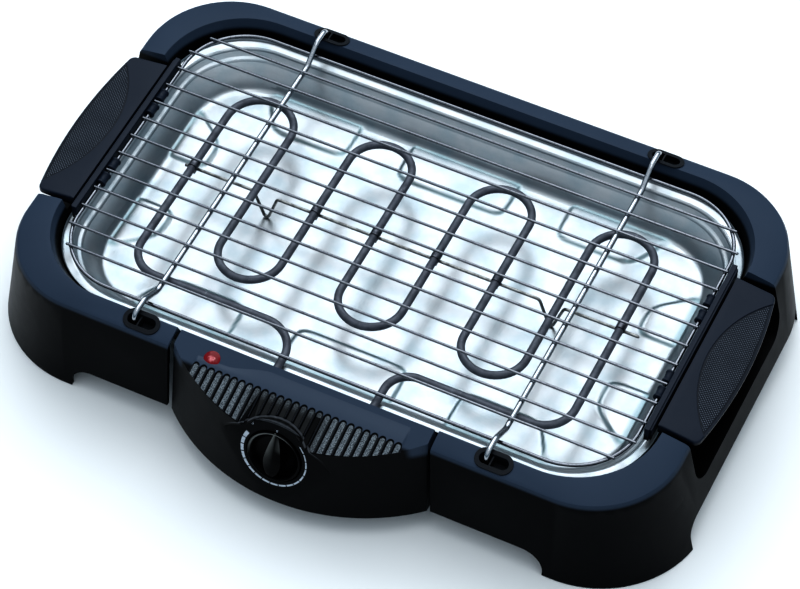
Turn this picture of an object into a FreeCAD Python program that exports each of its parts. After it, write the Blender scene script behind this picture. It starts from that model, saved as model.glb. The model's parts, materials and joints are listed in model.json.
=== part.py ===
import FreeCAD
import Part
import math
import os
import Sketcher
from FreeCAD import Rotation, Vector

# Electric table grill
#
# A moulded frame stands on four corner feet and holds a pressed drip tray.
# The heater unit hangs in the front gap of the frame: a bowed control box
# with a serpentine tube element that reaches back over the tray. The wire
# rack lies on top; its two cross rods end in four slots of the frame.
# X runs along the grill, -Y is the front with the knob and +Z is up. The
# pieces are laid out from the middle of the frame; at the end they all move
# back a little, so that the origin is on the table under the middle of the
# whole grill, knob included.

doc = FreeCAD.newDocument("table_grill")
sheet = doc.addObject("Spreadsheet::Sheet", "Sizes")
sheet_rows = []


class Size:
    """A length from the sheet: its value now and the formula that gives it."""

    def __init__(self, text, value):
        self.text = text
        self.value = value

    def _join(self, other, sign, result, swap=False):
        text = other.text if isinstance(other, Size) else repr(float(other))
        first, second = (text, self.text) if swap else (self.text, text)
        return Size("(" + first + " " + sign + " " + second + ")", result)

    def __add__(self, other):
        return self._join(other, "+", self.value + number(other))

    def __radd__(self, other):
        return self._join(other, "+", number(other) + self.value, swap=True)

    def __sub__(self, other):
        return self._join(other, "-", self.value - number(other))

    def __rsub__(self, other):
        return self._join(other, "-", number(other) - self.value, swap=True)

    def __mul__(self, other):
        return self._join(other, "*", self.value * number(other))

    def __rmul__(self, other):
        return self._join(other, "*", number(other) * self.value, swap=True)

    def __truediv__(self, other):
        return self._join(other, "/", self.value / number(other))

    def __neg__(self):
        return Size("(-1.0 * " + self.text + ")", -self.value)


def number(value):
    """The plain value of a size or of a number."""
    return value.value if isinstance(value, Size) else float(value)


def size(alias, value, note):
    """Writes one driving dimension into the sheet and returns it."""
    row = len(sheet_rows) + 1
    sheet.set("A" + str(row), note)
    sheet.set("B" + str(row), str(value))
    sheet.setAlias("B" + str(row), alias)
    sheet_rows.append(alias)
    return Size("Sizes." + alias, float(value))


def bind(thing, prop, value):
    """Ties a property of an object to a formula in the sheet."""
    if isinstance(value, Size):
        thing.setExpression(prop, value.text)
    else:
        setattr(thing, prop, value)


# Sizes of the frame

crest_x = size("crest_x", 218.8, "half length of the crest round the opening")
crest_y = size("crest_y", 133.0, "half depth of the crest round the opening")
crest_radius = size("crest_radius", 60.0, "corner radius of the crest")
crest_height = size("crest_height", 86.9, "height of the crest")
brow_ease = size("brow_ease", 2.6, "reach of the rounding at the brow, each way")
crest_ease = size("crest_ease", 1.6, "reach of the rounding at the crest")
crest_round = size("crest_round", 0.3, "height that the rounding takes off the crest")
brow_x = size("brow_x", 238.0, "half length of the outer edge of the band")
brow_y = size("brow_y", 147.0, "half depth of the outer edge of the band")
brow_radius = size("brow_radius", 62.0, "corner radius of the band's outer edge")
brow_height = size("brow_height", 83.3, "height of the band's outer edge")
foot_x = size("foot_x", 256.0, "half length of the feet on the table")
foot_y = size("foot_y", 152.0, "half depth of the feet on the table")
foot_radius = size("foot_radius", 76.0, "corner radius of the feet")
well_x = size("well_x", 215.0, "half length of the well for the tray")
well_y = size("well_y", 127.4, "half depth of the well for the tray")
well_height = size("well_height", 73.7, "height where the well turns vertical")
ledge_height = size("ledge_height", 70.0, "top of the ledge under the tray's flange")
ledge_width = size("ledge_width", 5.6, "width of the ledge")
wall = size("wall", 2.6, "wall of the moulded frame")
lift = size("lift", 0.8, "air under the frame's own feet, taken up by the pads")
arch_height = size("arch_height", 20.5, "height of the arches at front and rear")
arch_half = size("arch_half", 174.0, "half width of the front and rear arches")
arch_radius = size("arch_radius", 16.0, "corner radius of the front and rear arches")
side_arch_height = size("side_arch_height", 24.0, "height of the side arches")
side_arch_front = size("side_arch_front", 91.0, "side arch, reach to the front")
side_arch_rear = size("side_arch_rear", 113.0, "side arch, reach to the rear")
scoop_half = size("scoop_half", 72.0, "half width of the finger scoop at its top")
scoop_floor = size("scoop_floor", 41.5, "height of the scoop's floor")
scoop_radius = size("scoop_radius", 16.0, "corner radius of the scoop")
post_x = size("post_x", 204.0, "place of the foot posts along the length")
post_y = size("post_y", 108.0, "place of the foot posts along the depth")
post_radius = size("post_radius", 8.0, "radius of a foot post")

rear_shift = size("rear_shift", 17.25, "shift that centres the grill on the origin")

# Sizes of the drip tray

sheet_metal = size("sheet_metal", 1.0, "sheet of the tray")
tray_gap = size("tray_gap", 0.6, "play between the tray and the well")
tray_floor = size("tray_floor", 46.0, "underside of the tray's floor")
tray_floor_x = size("tray_floor_x", 193.4, "half length of the tray's floor")
tray_floor_y = size("tray_floor_y", 102.4, "half depth of the tray's floor")
tray_mouth_x = size("tray_mouth_x", 208.2, "half length at the flange")
tray_mouth_y = size("tray_mouth_y", 121.2, "half depth at the flange")
tray_lip = size("tray_lip", 2.2, "height of the turned-up lip")
pad_rise = size("pad_rise", 1.6, "rise of the pressed pads in the floor")

# Sizes of the rack

wire_pitch = size("wire_pitch", 17.0, "pitch of the long wires")
wire_radius = size("wire_radius", 1.0, "radius of a long wire")
rack_height = size("rack_height", 84.0, "height of the long wires")
ring_x = size("ring_x", 204.5, "half length of the rack's rim wire")
ring_y = size("ring_y", 120.8, "half depth of the rack's rim wire")
ring_corner = size("ring_corner", 46.5, "corner radius of the rim wire")
ring_radius = size("ring_radius", 1.3, "radius of the rim wire")
rod_x = size("rod_x", 126.7, "place of the cross rods")
rod_radius = size("rod_radius", 2.0, "radius of a cross rod")
rod_crown = size("rod_crown", 91.0, "height at which a rod crosses the crest")
rod_end_y = size("rod_end_y", 139.0, "place of a rod's turned-down end")
rod_tip = size("rod_tip", 75.0, "height of a rod's tip in its slot")

# Sizes of the heater

element_radius = size("element_radius", 2.8, "radius of the tube element")
element_height = size("element_height", 75.0, "height of the tube element")
leg_first = size("leg_first", 158.5, "place of the first leg, left of the middle")
leg_second = size("leg_second", 110.3, "place of the second leg, left of the middle")
leg_pitch = size("leg_pitch", 44.85, "pitch of the other legs")
bend_rear = size("bend_rear", 75.0, "reach of the bends to the rear")
bend_front = size("bend_front", 72.0, "reach of the bends to the front")
run_front = size("run_front", 94.0, "place of the two front runs")
entry_left = size("entry_left", 29.0, "left entry into the box")
entry_right = size("entry_right", 41.0, "right entry into the box")
stay_radius = size("stay_radius", 1.1, "radius of the support wire")

# Sizes of the control box

box_top = size("box_top", 91.3, "half length of the control box at the top")
box_base = size("box_base", 94.0, "half length of the control box at the bottom")
box_shift = size("box_shift", 3.5, "middle of the control box, left of the grill's")
box_seam = size("box_seam", 3.0, "groove between the box and the frame")
box_bottom = size("box_bottom", 18.0, "underside of the control box")
box_back = size("box_back", 130.4, "rear wall of the control box")
bow_top = size("bow_top", 178.0, "reach of the bowed front at crest height")
bow_bottom = size("bow_bottom", 186.5, "reach of the bowed front at the bottom")
bow_ends_top = size("bow_ends_top", 143.5, "where the bow meets the side, top")
bow_ends_bottom = size("bow_ends_bottom", 150.0, "where the bow meets the side, bottom")
box_wall = size("box_wall", 2.4, "wall of the control box")
dial_x = size("dial_x", -5.7, "dial centre along the length")
dial_y = size("dial_y", 177.3, "dial centre to the front")
dial_z = size("dial_z", 55.2, "dial centre above the table")
dial_tilt = size("dial_tilt", 16.0, "tilt of the dial from upright, degrees")
face_radius = size("face_radius", 50.0, "radius of the arched edge over the dial's face")
face_drop = size("face_drop", 24.6, "centre of that arch below the dial's centre")
hood = size("hood", 1.8, "thickness of the hood over the dial's face")
sink = size("sink", 9.0, "depth of the round well that the knob stands in")
sink_radius = size("sink_radius", 20.0, "radius of the knob's well")
knob_radius = size("knob_radius", 19.2, "radius of the knob")
knob_depth = size("knob_depth", 11.8, "height of the knob above the floor of its well")
rib_pitch = size("rib_pitch", 5.6, "pitch of the ribs on the box")
rib_count = size("rib_count", 27, "number of ribs")

# Sizes of the handles

grip_inner = size("grip_inner", 213.6, "inner edge of the grip")
grip_outer = size("grip_outer", 241.5, "outer edge of the grip at its ends")
grip_bulge = size("grip_bulge", 248.5, "outer edge of the grip in the middle")
grip_half = size("grip_half", 66.5, "half length of the grip")
grip_top = size("grip_top", 84.4, "top of the grip along its inner edge")
grip_bottom = size("grip_bottom", 77.2, "underside of the grip")
guard_half = size("guard_half", 74.0, "half length of the guard plate")

# Sizes of the smaller pieces

slot_y = size("slot_y", 138.6, "place of the slots along the depth")
slot_shift = size("slot_shift", 5.0, "slot centre, right of its rod")
slot_long = size("slot_long", 26.0, "length of the insert's rim")
slot_wide = size("slot_wide", 13.8, "width of the insert's rim")
slot_rim = size("slot_rim", 0.9, "height of the rim above the band")
slot_edge = size("slot_edge", 1.5, "step between the rim and the cup")
slot_wall = size("slot_wall", 1.5, "wall of the cup")
slot_deep = size("slot_deep", 74.0, "floor of the deep cell")
slot_shallow = size("slot_shallow", 79.5, "floor of the shallow cell")
trough_radius = size("trough_radius", 40.0, "corner radius of the tray's floor")
mouth_radius = size("mouth_radius", 54.0, "corner radius of the tray's mouth")
flange_radius = size("flange_radius", 58.4, "corner radius of the tray's flange")
pad_y = size("pad_y", 72.0, "inner edge of the pads along front and rear")
pad_end_x = size("pad_end_x", 162.0, "inner edge of the pads at the ends")
turn_radius = size("turn_radius", 22.0, "radius where a run turns into a leg")
entry_turn_left = size("entry_turn_left", 24.0, "radius of the left turn into the box")
entry_turn_right = size("entry_turn_right", 17.0, "radius of the right turn into the box")
entry_depth = size("entry_depth", 139.0, "where the element's tube ends in the box")
clip_width = size("clip_width", 6.0, "width of an element clip")
clip_sheet = size("clip_sheet", 0.7, "sheet of an element clip")
recess_wall = size("recess_wall", 2.0, "wall behind the dial's flat")
rib_shift = size("rib_shift", 1.6, "middle of the ribs, left of the grill's")
rib_width = size("rib_width", 3.6, "width of a rib")
rib_rise = size("rib_rise", 1.2, "height of a rib")
rib_rear = size("rib_rear", 150.5, "rear ends of the ribs")
shaft_radius = size("shaft_radius", 3.0, "radius of the switch shaft")
neck_radius = size("neck_radius", 5.0, "radius of the thermostat's neck")
lens_radius = size("lens_radius", 5.6, "radius of the lamp lens")
lens_x = size("lens_x", -66.9, "lamp lens along the length")
lens_y = size("lens_y", 144.2, "lamp lens to the front")
gland_x = size("gland_x", 63.0, "cord gland along the length")
gland_y = size("gland_y", 150.0, "cord gland to the front")
gland_length = size("gland_length", 9.0, "length of the cord gland")
gland_bore = size("gland_bore", 3.4, "radius of the cord gland's bore")
boss_radius = size("boss_radius", 4.0, "radius of a screw boss")
screw_radius = size("screw_radius", 1.5, "radius of a housing screw")
cover_sheet = size("cover_sheet", 2.2, "thickness of the bottom cover")
barrel_y = size("barrel_y", 34.3, "middle between two clip barrels of a pair")
barrel_gap = size("barrel_gap", 13.8, "distance of the barrels of a pair")

doc.recompute()


# Building helpers

def plane(body, role):
    """An origin plane of a body, found by its role."""
    for feature in body.Origin.OriginFeatures:
        if feature.Role == role:
            return feature
    raise ValueError(role)


def sketch_on(body, name, role="XY_Plane", offset=0.0):
    """A sketch on an origin plane of its own body, moved along its normal."""
    sketch = body.newObject("Sketcher::SketchObject", name)
    sketch.AttachmentSupport = [(plane(body, role), "")]
    sketch.MapMode = "FlatFace"
    sketch.AttachmentOffset = FreeCAD.Placement(Vector(0, 0, number(offset)), Rotation())
    if isinstance(offset, Size):
        sketch.setExpression("AttachmentOffset.Base.z", offset.text)
    return sketch


def constrain(sketch, *what):
    """One constraint; its last value may be a size from the sheet."""
    value = what[-1]
    if isinstance(value, Size):
        index = sketch.addConstraint(Sketcher.Constraint(*what[:-1], value.value))
        sketch.setExpression("Constraints[" + str(index) + "]", value.text)
        return index
    return sketch.addConstraint(Sketcher.Constraint(*what))


def rounded_frame(sketch, half_x, half_y, radius):
    """A rectangle with round corners about the sketch's origin."""
    hx = number(half_x)
    hy = number(half_y)
    r = number(radius)
    quarter = math.pi / 2
    centres = [(hx - r, r - hy), (hx - r, hy - r), (r - hx, hy - r), (r - hx, r - hy)]
    ends = [((r - hx, -hy), (hx - r, -hy)), ((hx, r - hy), (hx, hy - r)),
            ((hx - r, hy), (r - hx, hy)), ((-hx, hy - r), (-hx, r - hy))]
    first = sketch.GeometryCount
    for i in range(4):
        start, end = ends[i]
        sketch.addGeometry(Part.LineSegment(Vector(*start, 0), Vector(*end, 0)))
        circle = Part.Circle(Vector(*centres[i], 0), Vector(0, 0, 1), r)
        sketch.addGeometry(Part.ArcOfCircle(circle, (i - 1) * quarter, i * quarter))
    for i in range(4):
        line = first + 2 * i
        after = first + (2 * i + 2) % 8
        constrain(sketch, "Tangent", line, 2, line + 1, 1)
        constrain(sketch, "Tangent", line + 1, 2, after, 1)
        if i:
            constrain(sketch, "Equal", first + 1, line + 1)
    constrain(sketch, "Horizontal", first + 4)
    constrain(sketch, "Vertical", first + 6)
    constrain(sketch, "Symmetric", first, 1, first, 2, -2)
    constrain(sketch, "Symmetric", first + 2, 1, first + 2, 2, -1)
    constrain(sketch, "DistanceX", first + 6, 1, first + 2, 1, 2 * half_x)
    constrain(sketch, "DistanceY", first, 1, first + 4, 1, 2 * half_y)
    constrain(sketch, "Radius", first + 1, radius)
    return sketch


def outline(sketch, corners):
    """A closed outline of straight edges through corners tied to the sheet."""
    first = sketch.GeometryCount
    count = len(corners)
    for i in range(count):
        a = corners[i]
        b = corners[(i + 1) % count]
        start = Vector(number(a[0]), number(a[1]), 0)
        end = Vector(number(b[0]), number(b[1]), 0)
        sketch.addGeometry(Part.LineSegment(start, end))
    for i in range(count):
        constrain(sketch, "Coincident", first + i, 2, first + (i + 1) % count, 1)
    for i in range(count):
        constrain(sketch, "DistanceX", -1, 1, first + i, 1, corners[i][0])
        constrain(sketch, "DistanceY", -1, 1, first + i, 1, corners[i][1])
    return sketch


def circle_at(sketch, x, y, radius):
    """A circle with its centre tied to the sheet."""
    centre = Vector(number(x), number(y), 0)
    index = sketch.addGeometry(Part.Circle(centre, Vector(0, 0, 1), number(radius)))
    constrain(sketch, "DistanceX", -1, 1, index, 3, x)
    constrain(sketch, "DistanceY", -1, 1, index, 3, y)
    constrain(sketch, "Radius", index, radius)
    return index


def new_body(name):
    body = doc.addObject("PartDesign::Body", name)
    body.Label = name
    return body


def pad(body, sketch, length, name, midplane=False, reverse=False):
    feature = body.newObject("PartDesign::Pad", name)
    feature.Profile = sketch
    feature.Midplane = midplane
    feature.Reversed = reverse
    bind(feature, "Length", length)
    return feature


def pocket(body, sketch, length, name, midplane=False, reverse=False):
    feature = body.newObject("PartDesign::Pocket", name)
    feature.Profile = sketch
    feature.Midplane = midplane
    feature.Reversed = reverse
    bind(feature, "Length", length)
    return feature


def loft(body, sketches, name, cut=False):
    kind = "PartDesign::SubtractiveLoft" if cut else "PartDesign::AdditiveLoft"
    feature = body.newObject(kind, name)
    feature.Profile = sketches[0]
    feature.Sections = sketches[1:]
    feature.Ruled = True
    return feature


def pipe(body, profile, path, name):
    feature = body.newObject("PartDesign::AdditivePipe", name)
    feature.Profile = profile
    feature.Spine = (path, [])
    feature.Transition = "Right corner"
    return feature


def frame_block(name, sections):
    """A solid with ruled walls through round-cornered frames at given heights."""
    body = new_body(name)
    sketches = []
    for i, (half_x, half_y, radius, height) in enumerate(sections):
        sketch = sketch_on(body, name + "_section_" + str(i), "XY_Plane", height)
        sketches.append(rounded_frame(sketch, half_x, half_y, radius))
    for i in range(len(sketches) - 1):
        loft(body, sketches[i:i + 2], name + "_loft_" + str(i))
    return body


def side_block(name, role, corners, length, rounds=()):
    """A prism over an outline on an upright plane, with some edges rounded."""
    body = new_body(name)
    sketch = outline(sketch_on(body, name + "_outline", role), corners)
    feature = pad(body, sketch, length, name + "_pad", midplane=True)
    if rounds:
        doc.recompute()
        for radius, spots in rounds:
            fillet = body.newObject("PartDesign::Fillet", name + "_round")
            fillet.Base = (feature, edges_through(feature.Shape, role, spots))
            bind(fillet, "Radius", radius)
            doc.recompute()
            feature = fillet
    return body


def edges_through(shape, role, spots):
    """Names of the edges that run square to an upright plane at given spots."""
    names = []
    for i, edge in enumerate(shape.Edges):
        box = edge.BoundBox
        if role == "XZ_Plane":
            across, flat = box.YLength, box.XLength + box.ZLength
            spot = (box.Center.x, box.Center.z)
        else:
            across, flat = box.XLength, box.YLength + box.ZLength
            spot = (box.Center.y, box.Center.z)
        if flat > 0.01 or across < 1:
            continue
        for x, y in spots:
            if math.hypot(spot[0] - number(x), spot[1] - number(y)) < 0.05:
                names.append("Edge" + str(i + 1))
    return names


def boolean(kind, name, base, *tools):
    """A chain of Part booleans of one kind, named after its result."""
    result = base
    for i, tool in enumerate(tools):
        last = i == len(tools) - 1
        feature = doc.addObject("Part::" + kind, name if last else name + "_" + str(i))
        feature.Base = result
        feature.Tool = tool
        result = feature
    result.Label = name
    return result


def cylinder(name, radius, length, place, direction=(0, 0, 1)):
    """A round bar from a place along a direction."""
    feature = doc.addObject("Part::Cylinder", name)
    bind(feature, "Radius", radius)
    bind(feature, "Height", length)
    turn = Rotation(Vector(0, 0, 1), Vector(*direction))
    spot = Vector(*[number(v) for v in place])
    feature.Placement = FreeCAD.Placement(spot, turn)
    for axis, value in zip("xyz", place):
        if isinstance(value, Size):
            feature.setExpression("Placement.Base." + axis, value.text)
    return feature


def block(name, length, width, height, corner):
    """A rectangular block from its lowest corner."""
    feature = doc.addObject("Part::Box", name)
    bind(feature, "Length", length)
    bind(feature, "Width", width)
    bind(feature, "Height", height)
    feature.Placement = FreeCAD.Placement(Vector(*[number(v) for v in corner]), Rotation())
    for axis, value in zip("xyz", corner):
        if isinstance(value, Size):
            feature.setExpression("Placement.Base." + axis, value.text)
    return feature


def mirrored(name, source, normal=(1, 0, 0)):
    """The mirror image of a finished solid in a plane through the origin."""
    feature = doc.addObject("Part::Mirroring", name)
    feature.Source = source
    feature.Normal = Vector(*normal)
    feature.Label = name
    return feature


nodes = {}


def keep(name, feature):
    """Marks a finished solid as one piece of the grill."""
    feature.Label = name
    nodes[name] = feature
    return feature


# Moulded frame
#
# The frame is a shell: flared skirt, sloping top band and the wall of the
# tray's well, which ends in a ledge. At each end a scoop lets fingers under
# the handle, and its walls close the shell again.

foot_ring = (foot_x, foot_y, foot_radius, lift)
brow_ring = (brow_x, brow_y, brow_radius, brow_height)
crest_ring = (crest_x, crest_y, crest_radius, crest_height)


def between(first, second, share):
    """The ring at a share of the way from one ring of the frame to another."""
    return tuple(a + (b - a) * share for a, b in zip(first, second))


brow_low = between(brow_ring, foot_ring, brow_ease / brow_height)
brow_high = between(brow_ring, crest_ring, brow_ease / (brow_y - crest_y))
brow_middle = between(between(brow_low, brow_high, 0.5), brow_ring, 0.5)
crest_low = between(crest_ring, brow_ring, crest_ease / (brow_y - crest_y))
crest_top = (crest_x + 0.5, crest_y + 0.4, crest_radius, crest_height - crest_round)
frame_outer = frame_block("frame_outer", [
    foot_ring, brow_low, brow_middle, brow_high, crest_low, crest_top])
frame_hollow = frame_block("frame_hollow", [
    (foot_x - wall, foot_y - wall, foot_radius - wall, lift - 1),
    (brow_x - wall, brow_y - wall, brow_radius - wall, brow_height - wall),
    (crest_x - wall, crest_y - wall, crest_radius - wall, crest_height - wall)])
well_wall = frame_block("well_wall", [
    (well_x + wall, well_y + wall, crest_radius, ledge_height - wall),
    (well_x + wall, well_y + wall, crest_radius, well_height),
    (crest_x + wall, crest_y + wall, crest_radius + wall, crest_height)])
well = frame_block("well", [
    (well_x, well_y, crest_radius - 1, ledge_height),
    (well_x, well_y, crest_radius - 1, well_height),
    (crest_x, crest_y, crest_radius, crest_height + 0.01)])
opening = frame_block("opening", [
    (well_x - ledge_width, well_y - ledge_width, crest_radius - ledge_width, 0),
    (well_x - ledge_width, well_y - ledge_width, crest_radius - ledge_width, crest_height)])

scoop_reach = 60
scoop_corners = [
    (-scoop_half, crest_height + 20), (-scoop_half, scoop_floor),
    (scoop_half, scoop_floor), (scoop_half, crest_height + 20)]
scoop_shell_corners = [
    (-scoop_half - wall, crest_height + 20), (-scoop_half - wall, scoop_floor - wall),
    (scoop_half + wall, scoop_floor - wall), (scoop_half + wall, crest_height + 20)]


def scoop_block(name, corners, radius, inner):
    """The scoop's space: an upright outline carried outwards along X."""
    body = new_body(name)
    sketch = outline(sketch_on(body, name + "_outline", "YZ_Plane", inner), corners)
    feature = pad(body, sketch, scoop_reach, name + "_pad")
    doc.recompute()
    low = [corners[1], corners[2]]
    fillet = body.newObject("PartDesign::Fillet", name + "_round")
    fillet.Base = (feature, edges_through(feature.Shape, "YZ_Plane", low))
    bind(fillet, "Radius", radius)
    return body


scoop_right = scoop_block("scoop_right", scoop_corners, scoop_radius, well_x + wall)
scoop_shell_right = scoop_block(
    "scoop_shell_right", scoop_shell_corners, scoop_radius + wall, well_x)
scoop_left = mirrored("scoop_left", scoop_right)
scoop_shell_left = mirrored("scoop_shell_left", scoop_shell_right)
gate_right = block("gate_right", 40, 2 * scoop_half, 30,
                   (well_x - 10, -scoop_half, well_height))
gate_left = mirrored("gate_left", gate_right)

arch = side_block("arch", "XZ_Plane", [
    (-arch_half, -10), (-arch_half, arch_height), (arch_half, arch_height),
    (arch_half, -10)], 400, [(arch_radius, [
        (-arch_half, arch_height), (arch_half, arch_height)])])
side_arch = side_block("side_arch", "YZ_Plane", [
    (-side_arch_front, -10), (-side_arch_front, side_arch_height),
    (side_arch_rear, side_arch_height), (side_arch_rear, -10)], 600, [(12, [
        (-side_arch_front, side_arch_height), (side_arch_rear, side_arch_height)])])

gap_base = box_base + box_seam + 0.6
gap_top = box_top + box_seam
box_gap = new_body("box_gap")
gap_low = outline(sketch_on(box_gap, "gap_low", "XY_Plane", 0), [
    (-gap_base - box_shift, -foot_y - 20), (gap_base - box_shift, -foot_y - 20),
    (gap_base - box_shift, -box_back + 0.6), (-gap_base - box_shift, -box_back + 0.6)])
gap_high = outline(sketch_on(box_gap, "gap_high", "XY_Plane", crest_height + 1), [
    (-gap_top - box_shift, -foot_y - 20), (gap_top - box_shift, -foot_y - 20),
    (gap_top - box_shift, -box_back + 0.6), (-gap_top - box_shift, -box_back + 0.6)])
loft(box_gap, [gap_low, gap_high], "gap_loft")

posts = []
for side_x, side_y in ((-1, -1), (1, -1), (1, 1), (-1, 1)):
    tag = ("left" if side_x < 0 else "right") + ("_front" if side_y < 0 else "_rear")
    posts.append(cylinder("post_" + tag, post_radius, 55 - lift,
                          (side_x * post_x, side_y * post_y, lift + 1.6)))
    for turn in (-20, 45, 110):
        rib = doc.addObject("Part::Box", "rib_" + tag + "_" + str(turn + 20))
        rib.Length = 60
        rib.Width = 2
        bind(rib, "Height", 55 - lift)
        heading = math.degrees(math.atan2(side_y, side_x)) + side_x * side_y * (turn - 45)
        rotation = Rotation(Vector(0, 0, 1), heading)
        spot = Vector(side_x * post_x.value, side_y * post_y.value, lift.value + 1.6)
        rib.Placement = FreeCAD.Placement(spot + rotation.multVec(Vector(0, -1, 0)), rotation)
        posts.append(rib)

hollow = boolean("Cut", "hollow", frame_hollow, scoop_shell_right, scoop_shell_left, well_wall)
post_cores = boolean("Fuse", "post_cores", *posts)
post_parts = boolean("Common", "post_parts", post_cores, frame_outer)
frame_shell = boolean("Cut", "frame_shell", frame_outer, hollow)
frame_ribbed = boolean("Fuse", "frame_ribbed", frame_shell, post_parts)
frame_cut = boolean("Cut", "frame_cut", frame_ribbed, well, opening, scoop_right, scoop_left,
                    gate_right, gate_left, arch, side_arch, box_gap)

# Slot inserts
#
# Each cross rod ends in two slots. An insert is a stadium-shaped cup with a
# raised rim; a wall parts it into a deep left cell, where the rod stands, and
# a shallow right cell for the higher setting of the rack.

band_fall = (crest_height - brow_height) / (brow_y - crest_y)


def stadium(body, name, x, y, long_side, wide_side, low, high):
    """A prism with two half-round ends from one height to another."""
    sketch = sketch_on(body, name, "XY_Plane", low)
    cx = number(x)
    cy = number(y)
    r = number(wide_side) / 2
    reach = number(long_side) / 2 - r
    quarter = math.pi / 2
    sketch.addGeometry(Part.LineSegment(Vector(cx - reach, cy - r, 0), Vector(cx + reach, cy - r, 0)))
    right_end = Part.Circle(Vector(cx + reach, cy, 0), Vector(0, 0, 1), r)
    sketch.addGeometry(Part.ArcOfCircle(right_end, -quarter, quarter))
    sketch.addGeometry(Part.LineSegment(Vector(cx + reach, cy + r, 0), Vector(cx - reach, cy + r, 0)))
    left_end = Part.Circle(Vector(cx - reach, cy, 0), Vector(0, 0, 1), r)
    sketch.addGeometry(Part.ArcOfCircle(left_end, quarter, 3 * quarter))
    for i in range(4):
        constrain(sketch, "Tangent", i, 2, (i + 1) % 4, 1)
    constrain(sketch, "Horizontal", 0)
    constrain(sketch, "DistanceX", -1, 1, 1, 3, x + (long_side - wide_side) / 2)
    constrain(sketch, "DistanceX", -1, 1, 3, 3, x - (long_side - wide_side) / 2)
    constrain(sketch, "DistanceY", -1, 1, 1, 3, y)
    constrain(sketch, "Radius", 1, wide_side / 2)
    return pad(body, sketch, high - low, name + "_pad")


def band_wedge(name, side, rise):
    """Everything above the sloping band, raised by a little, on one side."""
    far = 30
    body = new_body(name)
    top = crest_height + rise
    sketch = outline(sketch_on(body, name + "_outline", "YZ_Plane"), [
        (side * (crest_y - far), top + band_fall * far),
        (side * (crest_y + far), top - band_fall * far),
        (side * (crest_y + far), top + 60),
        (side * (crest_y - far), top + 60)])
    pad(body, sketch, 700, name + "_pad", midplane=True)
    return body


above_rim = {side: band_wedge("above_rim_" + tag, side, slot_rim)
             for side, tag in ((-1, "front"), (1, "rear"))}
above_band = {side: band_wedge("above_band_" + tag, side, Size("0.0", 0.0))
              for side, tag in ((-1, "front"), (1, "rear"))}
slot_holes = []


def slot_insert(tag, rod, side):
    """One insert, at a rod's place along the length and at one side."""
    x = rod + slot_shift
    y = side * slot_y
    name = "slot_insert_" + tag
    rim = new_body(name + "_rim")
    stadium(rim, name + "_rim_plan", x, y, slot_long, slot_wide, slot_deep, crest_height + 9)
    cup = new_body(name + "_cup")
    stadium(cup, name + "_cup_plan", x, y, slot_long - 2 * slot_edge,
            slot_wide - 2 * slot_edge, slot_deep - slot_wall, crest_height + 9)
    hole = new_body(name + "_hole")
    stadium(hole, name + "_hole_plan", x, y, slot_long - 2 * slot_edge + 0.3,
            slot_wide - 2 * slot_edge + 0.3, slot_deep - 10, crest_height + 9)
    slot_holes.append(hole)
    cells = new_body(name + "_cells")
    stadium(cells, name + "_cells_plan", x, y, slot_long - 2 * slot_edge - 2 * slot_wall,
            slot_wide - 2 * slot_edge - 2 * slot_wall, slot_deep, crest_height + 9)
    step = block(name + "_step", 14, 20, slot_shallow - slot_deep,
                 (x - 1, y - 10, slot_deep))
    divider = block(name + "_divider", 1.2, 20, crest_height - slot_deep - 1,
                    (x - 2.2, y - 10, slot_deep))
    free = boolean("Cut", name + "_free", cells, step, divider)
    rim_part = boolean("Common", name + "_rim_part", rim, above_band[side])
    blank = boolean("Fuse", name + "_blank", rim_part, cup)
    keep(name, boolean("Cut", name, blank, free, above_rim[side]))


slot_insert("rear_left", -rod_x, 1)
slot_insert("rear_right", rod_x, 1)
slot_insert("front_left", -rod_x, -1)
slot_insert("front_right", rod_x, -1)

front_gate = block("front_gate", 132, 14, 30, (-61, -box_back - 4, ledge_height))
base_frame = boolean("Cut", "base_frame", frame_cut, *slot_holes, front_gate)
keep("base_frame", base_frame)

foot_pads = new_body("foot_pads")
pad_sketch = sketch_on(foot_pads, "foot_pads_plan")
for side_x, side_y in ((-1, -1), (1, -1), (1, 1), (-1, 1)):
    circle_at(pad_sketch, side_x * post_x, side_y * post_y, post_radius - 1.5)
pad(foot_pads, pad_sketch, lift + 1.6, "foot_pads_pad")
keep("foot_pads", foot_pads)

# Drip tray
#
# Pressed from sheet: a sloped trough with a flat flange and a turned-up lip.
# The lip stops at the front, where the element's ends pass over the flange.
# Raised pads stiffen the floor and leave channels that lead the fat away.

flange_under = ledge_height + 0.4
flange_top = flange_under + sheet_metal
drip_tray = new_body("drip_tray")


def tray_section(name, half_x, half_y, radius, height):
    return rounded_frame(sketch_on(drip_tray, name, "XY_Plane", height), half_x, half_y, radius)


loft(drip_tray, [
    tray_section("trough_low", tray_floor_x, tray_floor_y, trough_radius, tray_floor),
    tray_section("trough_high", tray_mouth_x, tray_mouth_y, mouth_radius, flange_top)],
    "trough")
flange_x = well_x - tray_gap
flange_y = well_y - tray_gap
pad(drip_tray, tray_section("flange_plan", flange_x, flange_y, flange_radius, flange_under),
    sheet_metal, "flange")
lip_plan = tray_section("lip_plan", flange_x, flange_y, flange_radius, flange_under)
rounded_frame(lip_plan, flange_x - sheet_metal, flange_y - sheet_metal,
              flange_radius - sheet_metal)
pad(drip_tray, lip_plan, sheet_metal + tray_lip, "lip")
loft(drip_tray, [
    tray_section("inside_low", tray_floor_x - 0.9, tray_floor_y - 0.9,
                 trough_radius - 0.9, tray_floor + sheet_metal),
    tray_section("inside_high", tray_mouth_x - 0.9, tray_mouth_y - 0.9,
                 mouth_radius - 0.9, flange_top + sheet_metal)],
    "inside", cut=True)
lip_gate = outline(sketch_on(drip_tray, "lip_gate", "XY_Plane", flange_top), [
    (-61, -flange_y - 5), (71, -flange_y - 5), (71, -flange_y + 5), (-61, -flange_y + 5)])
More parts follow.
